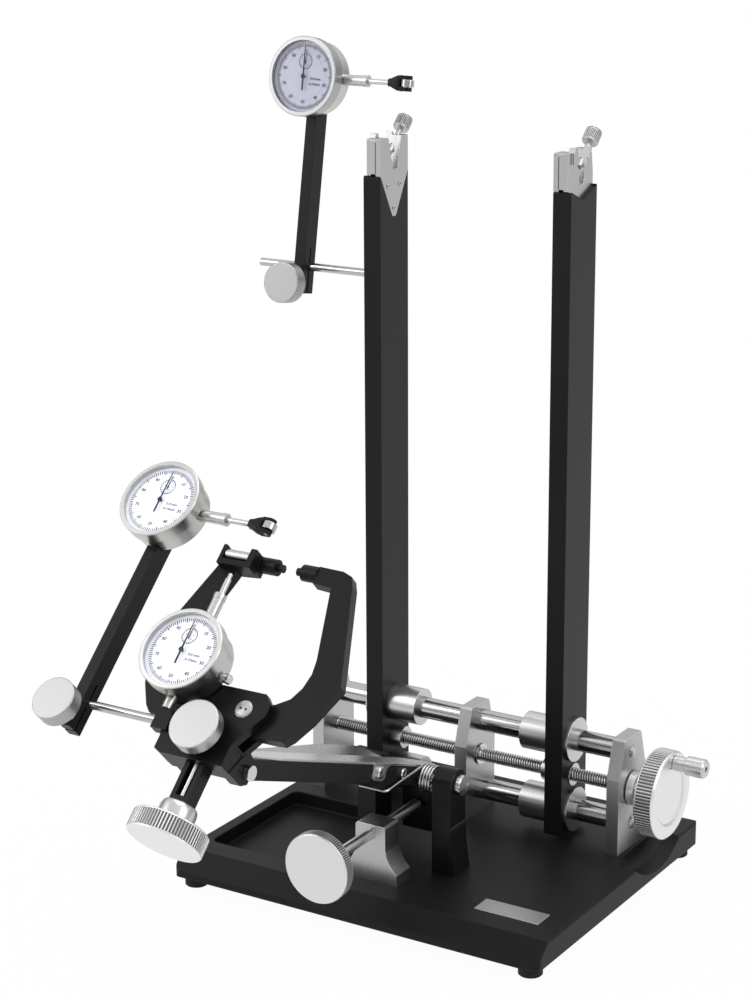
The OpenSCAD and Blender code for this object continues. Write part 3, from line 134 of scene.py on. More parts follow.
lighting = background((0.95, 0.97, 1.0), 0.7)
white = background((1, 1, 1), 1)
banded = background((1, 1, 1), 1)
height = sky.nodes.new("ShaderNodeSeparateXYZ")
sky.links.new(sky.nodes.new("ShaderNodeTexCoord").outputs["Generated"], height.inputs[0])
from_below = sky.nodes.new("ShaderNodeMapRange")
from_below.inputs["From Min"].default_value = -1
sky.links.new(height.outputs["Z"], from_below.inputs["Value"])
band = sky.nodes.new("ShaderNodeValToRGB")
for reach_up, brightness in ((0.0, 0.75), (0.44, 0.9), (0.5, 0.42), (0.6, 0.55), (0.75, 1.0)):
    stop = band.color_ramp.elements.new(reach_up) if reach_up else band.color_ramp.elements[0]
    stop.position = reach_up
    stop.color = (brightness, brightness, brightness, 1)
sky.links.new(from_below.outputs["Result"], band.inputs[0])
sky.links.new(band.outputs["Color"], banded.inputs["Color"])
rays = sky.nodes.new("ShaderNodeLightPath")
looked_at = mixed(sky, rays.outputs["Is Glossy Ray"], white, banded)
sky_out = sky.nodes.new("ShaderNodeOutputWorld")
sky.links.new(seen_instead(sky, lighting, looked_at).outputs[0], sky_out.inputs[0])
print("surround has", len(sky.nodes), "nodes")

# %% [markdown]
# Three rectangular lamps stand in for soft boxes: left, right and overhead. Bare points of light would be
# simpler, but they put hard glints on the knurls and threads. The floor lies just under the feet.

# %% Lamps and floor
def lamp(name, spot, aim, size, power):
    data = bpy.data.lights.new(name, "AREA")
    data.shape = "RECTANGLE"
    data.size, data.size_y = size
    data.energy = power
    obj = bpy.data.objects.new(name, data)
    collection.objects.link(obj)
    obj.location = spot
    obj.rotation_euler = (Vector(aim) - Vector(spot)).to_track_quat("-Z", "Y").to_euler()


lamp("left_softbox", (-1.5, -1.3, 1.2), (0, -0.1, 0.25), (1.0, 1.4), 13)
lamp("right_softbox", (1.9, -0.3, 1.3), (0, -0.1, 0.25), (0.9, 1.5), 9)
lamp("top_softbox", (0.2, 0.3, 2.0), (0, -0.1, 0.2), (1.6, 1.2), 13)

bpy.ops.mesh.primitive_plane_add(size=12, location=(0, 0, -0.0005))
floor = bpy.context.object
floor.name = "floor"
print("lamps and floor made")

# %% [markdown]
# Finishes. Two effects come back in many materials, so each is a node group of its own. One makes fine
# grain: noise that may be drawn out along one direction, as a brush or a lathe leaves it. The other finds
# edges, where the colour is lightened: on paint as wear and as a painted highlight, on bare metal as a
# painted highlight where it catches the light. It compares the plain normal with a rounded one.

# %% Shared effects
def group(name, ins, outs):
    tree = bpy.data.node_groups.new(name, "ShaderNodeTree")
    for label, kind, value in ins:
        socket = tree.interface.new_socket(label, in_out="INPUT", socket_type=kind)
        socket.default_value = value
    for label, kind in outs:
        tree.interface.new_socket(label, in_out="OUTPUT", socket_type=kind)
    return tree, tree.nodes.new("NodeGroupInput"), tree.nodes.new("NodeGroupOutput")


grain, grain_in, grain_out = group("drawn_grain",
                                   [("Stretch", "NodeSocketVector", (1, 1, 1)),
                                    ("Scale", "NodeSocketFloat", 400.0),
                                    ("Middle", "NodeSocketFloat", 0.35),
                                    ("Spread", "NodeSocketFloat", 0.1)],
                                   [("Grain", "NodeSocketFloat"), ("Roughness", "NodeSocketFloat")])
stretched = grain.nodes.new("ShaderNodeVectorMath")
stretched.operation = "MULTIPLY"
grain.links.new(grain.nodes.new("ShaderNodeTexCoord").outputs["Object"], stretched.inputs[0])
grain.links.new(grain_in.outputs["Stretch"], stretched.inputs[1])
noise = grain.nodes.new("ShaderNodeTexNoise")
noise.inputs["Detail"].default_value = 4
grain.links.new(stretched.outputs[0], noise.inputs["Vector"])
grain.links.new(grain_in.outputs["Scale"], noise.inputs["Scale"])
centred = math_node(grain, "SUBTRACT", noise.outputs["Fac"], 0.5)
spread = math_node(grain, "MULTIPLY", centred, grain_in.outputs["Spread"])
grain.links.new(noise.outputs["Fac"], grain_out.inputs["Grain"])
grain.links.new(math_node(grain, "ADD", spread, grain_in.outputs["Middle"]), grain_out.inputs["Roughness"])

# Its mask paints edges lighter: a painted highlight, and on paint also wear. The rounded normal is real
# shading.
edges, edges_in, edges_out = group("edge_wear_and_highlight",
                                   [("Radius", "NodeSocketFloat", 0.0006), ("Gain", "NodeSocketFloat", 6.0)],
                                   [("Mask", "NodeSocketFloat"), ("Normal", "NodeSocketVector")])
rounded = edges.nodes.new("ShaderNodeBevel")
rounded.samples = 4
edges.links.new(edges_in.outputs["Radius"], rounded.inputs["Radius"])
likeness = edges.nodes.new("ShaderNodeVectorMath")
likeness.operation = "DOT_PRODUCT"
edges.links.new(rounded.outputs[0], likeness.inputs[0])
edges.links.new(edges.nodes.new("ShaderNodeNewGeometry").outputs["Normal"], likeness.inputs[1])
bent = math_node(edges, "SUBTRACT", 1.0, likeness.outputs["Value"])
wear_and_highlight_mask = math_node(edges, "MULTIPLY", bent, edges_in.outputs["Gain"], clamp=True)
edges.links.new(wear_and_highlight_mask, edges_out.inputs["Mask"])
edges.links.new(rounded.outputs[0], edges_out.inputs["Normal"])
print("groups:", grain.name, edges.name)

# %% [markdown]
# One helper builds every metal, paint and plastic: a base colour that drifts a little with the grain, a
# roughness from the same grain, edges lightened by a painted highlight (and by wear on paint) and a very
# shallow bump. Each material could be wired by hand, but this way only the numbers change.

# %% Material helper
def finish_of(name, dark, light, metal, rough, spread, scale, stretch=(1, 1, 1), bump=0.05,
              edge=None, edge_gain=5.0, edge_radius=0.0006, gloss=0.5):
    """dark and light are the grain's two colours, and edge is the colour painted on edges: wear and a painted
    highlight on paint, a painted highlight on bare metal. spread is how far the grain moves the roughness."""
    mat = bpy.data.materials.new(name)
    mat.use_nodes = True
    tree = mat.node_tree
    bsdf = tree.nodes["Principled BSDF"]
    bsdf.inputs["Metallic"].default_value = metal
    bsdf.inputs["Specular IOR Level"].default_value = gloss
    drawn = tree.nodes.new("ShaderNodeGroup")
    drawn.node_tree = grain
    for socket, value in (("Stretch", stretch), ("Scale", scale), ("Middle", rough), ("Spread", spread)):
        drawn.inputs[socket].default_value = value
    tree.links.new(drawn.outputs["Roughness"], bsdf.inputs["Roughness"])
    ramp = tree.nodes.new("ShaderNodeMix")
    ramp.data_type = "RGBA"
    ramp.inputs["A"].default_value = (*dark, 1)
    ramp.inputs["B"].default_value = (*light, 1)
    tree.links.new(drawn.outputs["Grain"], ramp.inputs["Factor"])
    colour = ramp.outputs["Result"]
    wear_and_highlight_edges = tree.nodes.new("ShaderNodeGroup")
    wear_and_highlight_edges.node_tree = edges
    wear_and_highlight_edges.inputs["Radius"].default_value = edge_radius
    wear_and_highlight_edges.inputs["Gain"].default_value = edge_gain
    # Edges are made lighter by the mask: a painted highlight, and on paint also wear.
    if edge:
        wear_and_highlight_mix = tree.nodes.new("ShaderNodeMix")
        wear_and_highlight_mix.data_type = "RGBA"
        tree.links.new(colour, wear_and_highlight_mix.inputs["A"])
        wear_and_highlight_mix.inputs["B"].default_value = (*edge, 1)
        tree.links.new(wear_and_highlight_edges.outputs["Mask"], wear_and_highlight_mix.inputs["Factor"])
        colour = wear_and_highlight_mix.outputs["Result"]
    tree.links.new(colour, bsdf.inputs["Base Color"])
    relief = tree.nodes.new("ShaderNodeBump")
    relief.inputs["Strength"].default_value = bump
    relief.inputs["Distance"].default_value = 0.0002
    tree.links.new(drawn.outputs["Grain"], relief.inputs["Height"])
    tree.links.new(wear_and_highlight_edges.outputs["Normal"], relief.inputs["Normal"])
    tree.links.new(relief.outputs["Normal"], bsdf.inputs["Normal"])
    return mat


def grey(v):
    """A neutral grey with a trace of blue."""
    return (v, v, v * 1.01)


print("helper ready:", finish_of.__name__)

# %% [markdown]
# Black paint and rubber. The castings are painted satin black, the base in a rougher texture, and the
# feet are matt. A low gloss keeps the paint black where the surround reflects in it.

# %% Paint and rubber
paint = finish_of("black_satin_paint", grey(0.005), grey(0.008), 0.0, 0.36, 0.10, 900, bump=0.12,
                  edge=grey(0.03), edge_gain=2.5, gloss=0.17)
deck_paint = finish_of("black_textured_paint", grey(0.005), grey(0.008), 0.0, 0.44, 0.12, 1400, bump=0.2,
                       edge=grey(0.03), edge_gain=2, edge_radius=0.002, gloss=0.15)
rubber = finish_of("moulded_rubber", grey(0.008), grey(0.014), 0.0, 0.65, 0.1, 1500, bump=0.2,
                   edge=grey(0.03), edge_gain=2, gloss=0.2)
print("painted:", paint.name, deck_paint.name, rubber.name)

# %% [markdown]
# Bare metals. Milled, turned and brushed aluminium differ in the way that their grain is drawn out. The
# knobs' faces are one aluminium in lit and shaded copies, with light and shade painted into their colour:
# they differ only in how bright they are, because each tilts towards another part of the studio.
# Knurls and threads get almost no rounding at their edges: a wider one would smooth them away.

# %% Aluminium
def knob_metal(name, dark, light, edge):
    return finish_of(name, grey(dark), grey(light), 1.0, 0.42, 0.02, 4000, bump=0.005,
                     edge=grey(edge), edge_gain=3, edge_radius=0.001)


def cut_metal(name, dark, light, rough):
    return finish_of(name, grey(dark), grey(light), 1.0, rough, 0.03, 4000, bump=0.0, edge_radius=0.00002)


machined = finish_of("machined_aluminium", grey(0.42), grey(0.50), 1.0, 0.32, 0.10, 1200, (1, 1, 0.05), 0.03,
                     edge=grey(0.85), edge_gain=3)
turned = finish_of("turned_aluminium", grey(0.55), grey(0.59), 1.0, 0.30, 0.03, 4000, (0.2, 1, 1), 0.005,
                   edge=grey(0.88), edge_gain=3)
dish = finish_of("dished_aluminium", grey(0.78), grey(0.80), 1.0, 0.34, 0.02, 4000, bump=0.0,
                 edge=grey(0.9), edge_gain=2)
# One knob aluminium in copies: the darker ones are painted shade, the palest is a painted highlight.
knob_face_shaded = knob_metal("knob_aluminium_painted_shade", 0.46, 0.48, 0.8)
knob_face_deep_shade = knob_metal("knob_aluminium_painted_deep_shade", 0.40, 0.42, 0.75)
knob_face_lit = knob_metal("knob_aluminium_painted_highlight", 0.84, 0.86, 0.92)
knob_face = knob_metal("knob_aluminium", 0.70, 0.72, 0.92)
ridge = cut_metal("knurled_metal", 0.50, 0.55, 0.32)
groove_painted_shade = cut_metal("knurl_groove_painted_shade", 0.10, 0.12, 0.45)
rolled = cut_metal("rolled_thread", 0.66, 0.72, 0.22)
brushed = finish_of("brushed_cover", grey(0.44), grey(0.56), 1.0, 0.28, 0.08, 900, (1, 0.06, 0.06), 0.01,
                    edge=grey(0.9), edge_gain=3)
brushed_plate = finish_of("brushed_plate", grey(0.36), grey(0.50), 1.0, 0.34, 0.14, 700, (0.05, 1, 1), 0.06,
                          edge=grey(0.8), edge_gain=3, edge_radius=0.0003)
print("aluminium finishes made")

# %% [markdown]
# Steel. Rods are ground along their length, the gauges are plated with nickel, and the spring is drawn
# wire. The bottom of a hole gets a finish of painted shade: a dark one reads as depth where a deep hole
# would cost many faces.

# %% Steel and nickel
rod_bright = finish_of("bright_rod", grey(0.66), grey(0.70), 1.0, 0.30, 0.03, 4000, bump=0.005,
                       edge=grey(0.9))
ground = finish_of("ground_steel", grey(0.42), grey(0.52), 1.0, 0.15, 0.08, 900, (1, 0.1, 0.1), 0.03,
                   edge=grey(0.85), edge_gain=2)
nickel = finish_of("bright_nickel", grey(0.55), grey(0.62), 1.0, 0.18, 0.04, 3000, bump=0.01,
                   edge=grey(0.88), edge_gain=2, edge_radius=0.0003)
case_metal = finish_of("satin_nickel_case", (0.52, 0.517, 0.505), (0.56, 0.557, 0.545), 1.0, 0.29, 0.03, 4000,
                       bump=0.01, edge=grey(0.88), edge_gain=2, edge_radius=0.0004)
# The upper bezel's darker copy of the case nickel is painted shade.
case_painted_shade = finish_of("satin_nickel_painted_shade_case", grey(0.38), grey(0.41), 1.0, 0.29, 0.03, 4000, bump=0.01,
                      edge=grey(0.7), edge_gain=2, edge_radius=0.0004)
wire = finish_of("spring_wire", grey(0.42), grey(0.55), 1.0, 0.20, 0.08, 800, bump=0.02, edge_radius=0.0002)
hole_painted_shade = finish_of("recess_painted_shade", grey(0.010), grey(0.014), 0.3, 0.5, 0.1, 900, edge_radius=0.0001)
print("steel finishes made")

# %% [markdown]
# The dials' finishes: ink, the hands' enamel, and card in lavender and in white. They are flat colours
# with no bump, because print has no relief that can be seen at this size.

# %% Dial finishes
def printed(name, dark, light, rough, scale, edge_radius, gloss):
    return finish_of(name, dark, light, 0.0, rough, 0.05, scale, bump=0.0,
                     edge_radius=edge_radius, gloss=gloss)


ink = printed("blue_black_ink", (0.012, 0.012, 0.022), (0.018, 0.018, 0.03), 0.5, 2000, 0.00005, 0.2)
hand_paint = printed("hand_enamel", (0.008, 0.008, 0.014), (0.012, 0.012, 0.02), 0.35, 2000, 0.00005, 0.3)
card_blue = printed("dial_lavender", (0.43, 0.44, 0.52), (0.47, 0.48, 0.55), 0.5, 600, 0.0001, 0.2)
card_white = printed("dial_white", (0.80, 0.81, 0.88), (0.84, 0.85, 0.91), 0.5, 600, 0.0001, 0.2)
print("dial finishes made")

# %% [markdown]
# The crystals. Glass throws a dark shadow in a path tracer, so a shadow ray meets a clear pane instead, and
# the dials stay lit. A low refractive index keeps the thin crystal from bending the print.

# %% Glass
clear = bpy.data.materials.new("watch_glass")
clear.use_nodes = True
glass_tree = clear.node_tree
glass_bsdf = glass_tree.nodes["Principled BSDF"]
glass_bsdf.inputs["Base Color"].default_value = (0.98, 0.985, 1, 1)
glass_bsdf.inputs["Transmission Weight"].default_value = 1
glass_bsdf.inputs["IOR"].default_value = 1.12
haze = glass_tree.nodes.new("ShaderNodeGroup")
haze.node_tree = grain
for socket, value in (("Scale", 300), ("Middle", 0.03), ("Spread", 0.03)):
    haze.inputs[socket].default_value = value
glass_tree.links.new(haze.outputs["Roughness"], glass_bsdf.inputs["Roughness"])
through = glass_tree.nodes.new("ShaderNodeBsdfTransparent")
shadow = glass_tree.nodes.new("ShaderNodeLightPath").outputs["Is Shadow Ray"]
pane = mixed(glass_tree, shadow, glass_bsdf, through)
glass_tree.links.new(pane.outputs[0], glass_tree.nodes["Material Output"].inputs[0])
print("glass made")

# %% [markdown]
# The floor. It shades as a plain grey near the stand and fades into the white surround. One even grey would
# be simpler, but it would end in a line behind the stand.

# %% Floor finish
floor_finish = bpy.data.materials.new("studio_floor")
floor_finish.use_nodes = True
floor_tree = floor_finish.node_tree
floor_bsdf = floor_tree.nodes["Principled BSDF"]
floor_bsdf.inputs["Base Color"].default_value = (0.82, 0.82, 0.82, 1)
floor_bsdf.inputs["Roughness"].default_value = 0.7
shine = floor_tree.nodes.new("ShaderNodeEmission")
away = floor_tree.nodes.new("ShaderNodeVectorMath")
away.operation = "LENGTH"
floor_tree.links.new(floor_tree.nodes.new("ShaderNodeTexCoord").outputs["Object"], away.inputs[0])
fade = floor_tree.nodes.new("ShaderNodeMapRange")
fade.interpolation_type = "SMOOTHSTEP"
for socket, value in (("From Min", 0.2), ("From Max", 0.75), ("To Min", 0.97), ("To Max", 1.0)):
    fade.inputs[socket].default_value = value
floor_tree.links.new(away.outputs["Value"], fade.inputs["Value"])
fading = mixed(floor_tree, fade.outputs["Result"], floor_bsdf, shine)
floor_seen = seen_instead(floor_tree, floor_bsdf, fading)
floor_tree.links.new(floor_seen.outputs[0], floor_tree.nodes["Material Output"].inputs[0])
floor.data.materials.append(floor_finish)
print("floor finished")

# %% [markdown]
# Each solid wears one finish. A table from finish to solids is short to read and easy to change. The
# solids that are drawn again further down are in it as well, because they stay in the model and aren't
# shown.

# %% Which solid wears which finish
wears = {
    paint: "upright_left upright_right upper_bar side_bar main_arm pivot_posts caliper_hub caliper_slide "
           "caliper_arm_left caliper_arm_right",
    deck_paint: "base_plate",
    machined: "end_plate_left end_plate_right centre_plate axle_head_left axle_head_right vee_plate_left "
              "vee_plate_right adjuster_block",
    dish: "handwheel",
    turned: "carriage_bushes_left carriage_bushes_right crank_grip feeler_roller",
    knob_face_lit: "caliper_wheel",
    knob_face: "adjuster_knob",
    knob_face_shaded: "hub_knob",
    knob_face_deep_shade: "upper_knob side_knob",
    rod_bright: "adjuster_screw",
    ground: "guide_rods lead_screw upper_rod side_rod upper_roller side_roller",
    ridge: "thumb_screw_left thumb_screw_right",
    nickel: "arm_screws clevis_bolt pivot_bolt upper_plunger side_plunger centre_plunger",
    case_metal: "upper_case side_case centre_case side_bezel centre_bezel",
    case_painted_shade: "upper_bezel",
    brushed: "arm_cover",
    rubber: "rubber_feet",
    wire: "torsion_spring",
    hand_paint: "upper_pointer side_pointer centre_pointer upper_small_hand side_small_hand "
                "centre_small_hand",
}
for material, names in wears.items():
    for name in names.split():
        mesh = nodes[name].data
        mesh.materials.clear()
        mesh.materials.append(material)
print("finishes on", sum(len(names.split()) for names in wears.values()), "solids")

# %% [markdown]
# The pieces that follow are drawn in millimetres, each in a frame of its own, and joined into one mesh
# for each moving body. Primitives and modifiers would do for some of them, but a loft through equal rings
# of points makes turned shapes, threads and bent wire alike.

# %% Rings of points
ROUND = 48


def circle(r, z, n=ROUND):
    return [(r * math.cos(2 * math.pi * i / n), r * math.sin(2 * math.pi * i / n), z) for i in range(n)]


def hexagon(flat, z, n=ROUND):
    """A hexagon of that width across its flats, with as many points as a circle."""
    out = []
    for i in range(n):
        a = 2 * math.pi * i / n
        r = flat / 2 / math.cos((a + math.pi / 6) % (math.pi / 3) - math.pi / 6)
        out.append((r * math.cos(a), r * math.sin(a), z))
    return out


print("points in a ring:", ROUND)

# %% [markdown]
# A loft joins each ring of points to the next with a band of faces. A turned shape, a prism and a flat ring
# are all lofts, so each needs only a line or two. A screw's head is one as well: its last ring lies down in
# the socket.

# %% Lofts
def loft(rings, mat, closed=False, sharp=35):
    """Skins equal rings of points; closed joins the last ring to the first, else both ends are capped."""
    n = len(rings[0])
    faces = []
    for i in range(len(rings) if closed else len(rings) - 1):
        a, b = i * n, (i + 1) % len(rings) * n
        faces += [(a + j, a + (j + 1) % n, b + (j + 1) % n, b + j) for j in range(n)]
    if not closed:
        faces += [tuple(reversed(range(n))), tuple(range((len(rings) - 1) * n, len(rings) * n))]
    mesh = bpy.data.meshes.new("shape")
    mesh.from_pydata([v for ring in rings for v in ring], [], faces)
    mesh.materials.append(mat)
    mesh.shade_smooth()
    mesh.set_sharp_from_angle(angle=math.radians(sharp))
    return mesh


def turning(profile, mat, n=ROUND):
    """A solid of revolution from (radius, height) pairs, bottom to top."""
    return loft([circle(r, z, n) for r, z in profile], mat)


def prism(outline, z0, z1, mat):
    return loft([[(x, y, z0) for x, y in outline], [(x, y, z1) for x, y in outline]], mat)


def annulus(r0, r1, z0, z1, mat, n=2 * ROUND):
    """A flat ring from one radius and height to the other."""
    corners = ((r0, z0), (r1, z0), (r1, z1), (r0, z1))
    return loft([circle(r, z, n) for r, z in corners], mat, closed=True)


SINK = 0.05


def socket_screw(r, h, key, mat, soft):
    """A button or cap head with a hexagon socket, sunk a little way in, and a floor of painted
    shade in the socket.
    """
    deep = h * 0.35
    head = [circle(r, -SINK), circle(r, h - soft), circle(r - soft, h), hexagon(key, h), hexagon(key, deep)]
    bottom = [hexagon(key * 0.98, deep - 0.02), hexagon(key * 0.98, deep + 0.06)]
    return [loft(head, mat), loft(bottom, hole_painted_shade)]


print("lofts ready")

# %% [markdown]
# Every piece is drawn at the origin and then put where it belongs by a frame, which also turns millimetres
# into metres. Parents could place the objects instead, but a finished piece has to sit at the origin, with
# its place in its mesh.

# %% Placing and joining
def place(origin, x=(1, 0, 0), y=(0, 1, 0), z=(0, 0, 1)):
    """A frame in millimetres: where it lies and which way its three axes run."""
    return Matrix.Translation(Vector(origin) * MM) @ (Matrix((x, y, z)).transposed() * MM).to_4x4()


def moved(mesh, x, y, z):
    mesh.transform(Matrix.Translation((x, y, z)))
    return mesh


def joined(name, body, parts):
    """One object from many meshes, each with the frame it lies in."""
    bm = bmesh.new()
    mats = []
    for mesh, at in parts:
        first_vert, first_face = len(bm.verts), len(bm.faces)
        bm.from_mesh(mesh)
        bm.verts.ensure_lookup_table()
        bm.faces.ensure_lookup_table()
        for v in bm.verts[first_vert:]:
            v.co = at @ v.co
        for f in bm.faces[first_face:]:
            mat = mesh.materials[f.material_index]
            if mat not in mats:
                mats.append(mat)
            f.material_index = mats.index(mat)
    bmesh.ops.recalc_face_normals(bm, faces=bm.faces)
    out = bpy.data.meshes.new(name)
    bm.to_mesh(out)
    bm.free()
    for mat in mats:
        out.materials.append(mat)
    obj = bpy.data.objects.new(name, out)
    collection.objects.link(obj)
    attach(obj, body)
    return obj


STAND = place((0, 0, 0))
print("the stand's own frame:", [round(scale, 6) for scale in STAND.to_scale()])

# %% [markdown]
# Where a new piece goes is worked out from the solids' boxes, so it follows them if they change. Such places
# could be typed, but then every one would have to be found and corrected by hand.

# %% Boxes of the solids
def box_of(node):
    """A solid's lowest and highest corner, in millimetres."""
    low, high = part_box(node)
    return low / MM, high / MM


def middle_of(node):
    low, high = box_of(node)
    return (low + high) / 2


BASE_TOP = box_of("base_plate")[1].z
SCREW_Z = middle_of("lead_screw").z
PLATE_OUT = box_of("end_plate_right")[1].x
VEE_IN, VEE_OUT = (corner.x for corner in box_of("vee_plate_right"))
VEE_FRONT = box_of("vee_plate_right")[0].y
PIVOT = Vector((0, *middle_of("pivot_bolt").yz))
print("base top", round(BASE_TOP, 2), "pivot", [round(c, 2) for c in PIVOT], "screw", round(SCREW_Z, 2))

# %% [markdown]
# Whatever repeats round a circle comes from one Geometry Nodes tree: a ring of points, a unit bar on
# each, turned to face outward and scaled. Knurled rims use round bars and dial ticks use square ones. An
# array modifier could do the same for one ring, but a tree with named inputs serves every ring here.

# %% Rings of bars
def ring_tree(name, unit, values):
    tree = bpy.data.node_groups.new(name, "GeometryNodeTree")
    for label, kind in (("Count", "NodeSocketInt"), ("Radius", "NodeSocketFloat"),
                        ("Size", "NodeSocketVector"), ("Material", "NodeSocketMaterial")):
        tree.interface.new_socket(label, in_out="INPUT", socket_type=kind)
    tree.interface.new_socket("Geometry", in_out="OUTPUT", socket_type="NodeSocketGeometry")
    new, link = tree.nodes.new, tree.links.new
    given, result = new("NodeGroupInput"), new("NodeGroupOutput")
    points = new("GeometryNodeMeshCircle")
    link(given.outputs["Count"], points.inputs["Vertices"])
    link(given.outputs["Radius"], points.inputs["Radius"])
    whole_turns = math_node(tree, "MULTIPLY", new("GeometryNodeInputIndex").outputs[0], 2 * math.pi)
    angle = new("ShaderNodeCombineXYZ")
    link(math_node(tree, "DIVIDE", whole_turns, given.outputs["Count"]), angle.inputs["Z"])
    bar = new(unit)
    for socket, value in values.items():
        bar.inputs[socket].default_value = value
    set_out = new("GeometryNodeInstanceOnPoints")
    link(points.outputs[0], set_out.inputs["Points"])
    link(bar.outputs[0], set_out.inputs["Instance"])
    link(angle.outputs[0], set_out.inputs["Rotation"])
    link(given.outputs["Size"], set_out.inputs["Scale"])
    real = new("GeometryNodeRealizeInstances")
    link(set_out.outputs[0], real.inputs[0])
    dress = new("GeometryNodeSetMaterial")
    link(real.outputs[0], dress.inputs["Geometry"])
    link(given.outputs["Material"], dress.inputs["Material"])
    link(dress.outputs[0], result.inputs[0])
    return tree


round_ring = ring_tree("ring_of_ridges", "GeometryNodeMeshCylinder",
                       {"Vertices": 8, "Radius": 0.5, "Depth": 1.0})
square_ring = ring_tree("ring_of_ticks", "GeometryNodeMeshCube", {"Size": (1, 1, 1)})
print("trees:", round_ring.name, square_ring.name)

# %% [markdown]
# A tree is run on an empty object, and its result is taken off as a plain mesh. Printed numbers come from
# font curves in the same way, so both can be joined into the pieces that carry them.

# %% Rings and print as meshes
def taken_from(obj):
    """The evaluated mesh of an object that isn't needed after that."""
    mesh = bpy.data.meshes.new_from_object(obj.evaluated_get(bpy.context.evaluated_depsgraph_get()))
    bpy.data.objects.remove(obj)
    return mesh


def ring_of(tree, count, radius, size, mat):
    obj = bpy.data.objects.new("ring", bpy.data.meshes.new("ring"))
    collection.objects.link(obj)
    mod = obj.modifiers.new("ring", "NODES")
    mod.node_group = tree
    given = {"Count": count, "Radius": radius, "Size": size, "Material": mat}
    for item in tree.interface.items_tree:
        if item.in_out == "INPUT":
            mod[item.identifier] = given[item.name]
    return taken_from(obj)


def words(text, size, x, y, z, mat, heavy):
    """Print of that height, centred on a point and made bolder by heavy."""
    curve = bpy.data.curves.new("words", "FONT")
    curve.body, curve.size, curve.offset = text, size, heavy
    curve.align_x = curve.align_y = "CENTER"
    curve.extrude, curve.resolution_u = 0.02, 2
    obj = bpy.data.objects.new("words", curve)
    collection.objects.link(obj)
    mesh = moved(taken_from(obj), x, y, z)
    mesh.materials.clear()
    mesh.materials.append(mat)
    return mesh


print("rings and words can be drawn")

# %% [markdown]
# The frames that the stand's parts are drawn in. The caliper head is tilted, so its own frame has y
# rising towards the axle and z out of its front. The main arm has its own as well, from its pivot to the
# head. Points in such a frame are read straight off the part, and one function puts them into the stand's
# frame.

# %% Frames
HEAD = Vector((0, -242, 280))
tilt = math.radians(43.5)
HX = Vector((1, 0, 0))
HY, HZ = Vector((0, math.cos(tilt), math.sin(tilt))), Vector((0, -math.sin(tilt), math.cos(tilt)))


def head_at(x, y, z):
    return HEAD + HX * x + HY * y + HZ * z


reach = head_at(0, -135, -17.1) - PIVOT
rise = math.atan2(reach.z, -reach.y)
AY, AZ = Vector((0, -math.cos(rise), math.sin(rise))), Vector((0, math.sin(rise), math.cos(rise)))


def arm_at(x, y, z):
    return PIVOT + HX * x + AY * y + AZ * z


right_face = dict(x=(0, 1, 0), y=(0, 0, 1), z=(1, 0, 0))
left_face = dict(x=(0, -1, 0), y=(0, 0, 1), z=(-1, 0, 0))
along_screw = dict(x=(0, 0, -1), y=(0, 1, 0), z=(1, 0, 0))
SCREW_AXIS = place((0, 0, SCREW_Z), **along_screw)
SIDES = (("left", -1), ("right", 1))
print("arm", round(reach.length, 1), "mm long, rising", round(math.degrees(rise), 1), "degrees")

# %% [markdown]
# Where the three gauges' faces lie. The upper gauge leans back with its rod, and the other two lie in the
# plane of the caliper head. Each one's case belongs to the body that carries it.

# %% Gauge frames
lean = math.radians(10)
UY, UZ = Vector((0, math.sin(lean), math.cos(lean))), Vector((0, -math.cos(lean), math.sin(lean)))
BEZEL_RISE = 10


def back_of(gauge, normal):
    """The point behind a bezel's middle that its dial's heights are measured from."""
    return middle_of(f"{gauge}_bezel") - normal * BEZEL_RISE


dials = {
    "upper": (place(back_of("upper", UZ), HX, UY, UZ), "upper_gauge", card_blue),
    "side": (place(back_of("side", HZ), HX, HY, HZ), "side_gauge", card_white),
    "centre": (place(back_of("centre", HZ), HX, HY, HZ), "head", card_white),
}
print("gauges:", ", ".join(dials))

# %% [markdown]
# Three dial gauges. The printed ring turns with its bezel, the middle of the card stays with the case,
# and a slightly domed crystal closes each one. The card's ink is 100 ticks, ten numbers, a small
# revolution counter and two lines of plain unit text. A texture could carry the print, but meshes stay
# sharp at any distance.

# %% Dials
CARD_BASE, CARD_TOP, INK_AT = 10.81, 11.1, 11.12
TICK_END, NUMERAL_R = 23.7, 18.1
COUNTER_Y, COUNTER_TICK_END, COUNTER_NUMERAL_R = 11, 5.4, 2.9


def ticks(count, end, length, width, y=0):
    """Printed lines that point at the centre and end on one circle."""
    return moved(ring_of(square_ring, count, end - length / 2, (length, width, 0.05), ink), 0, y, INK_AT)


def on_dial(r, tenths):
    """The point that many tenths of a turn past the top, clockwise."""
    a = math.radians(90 - 36 * tenths)
    return r * math.cos(a), r * math.sin(a)


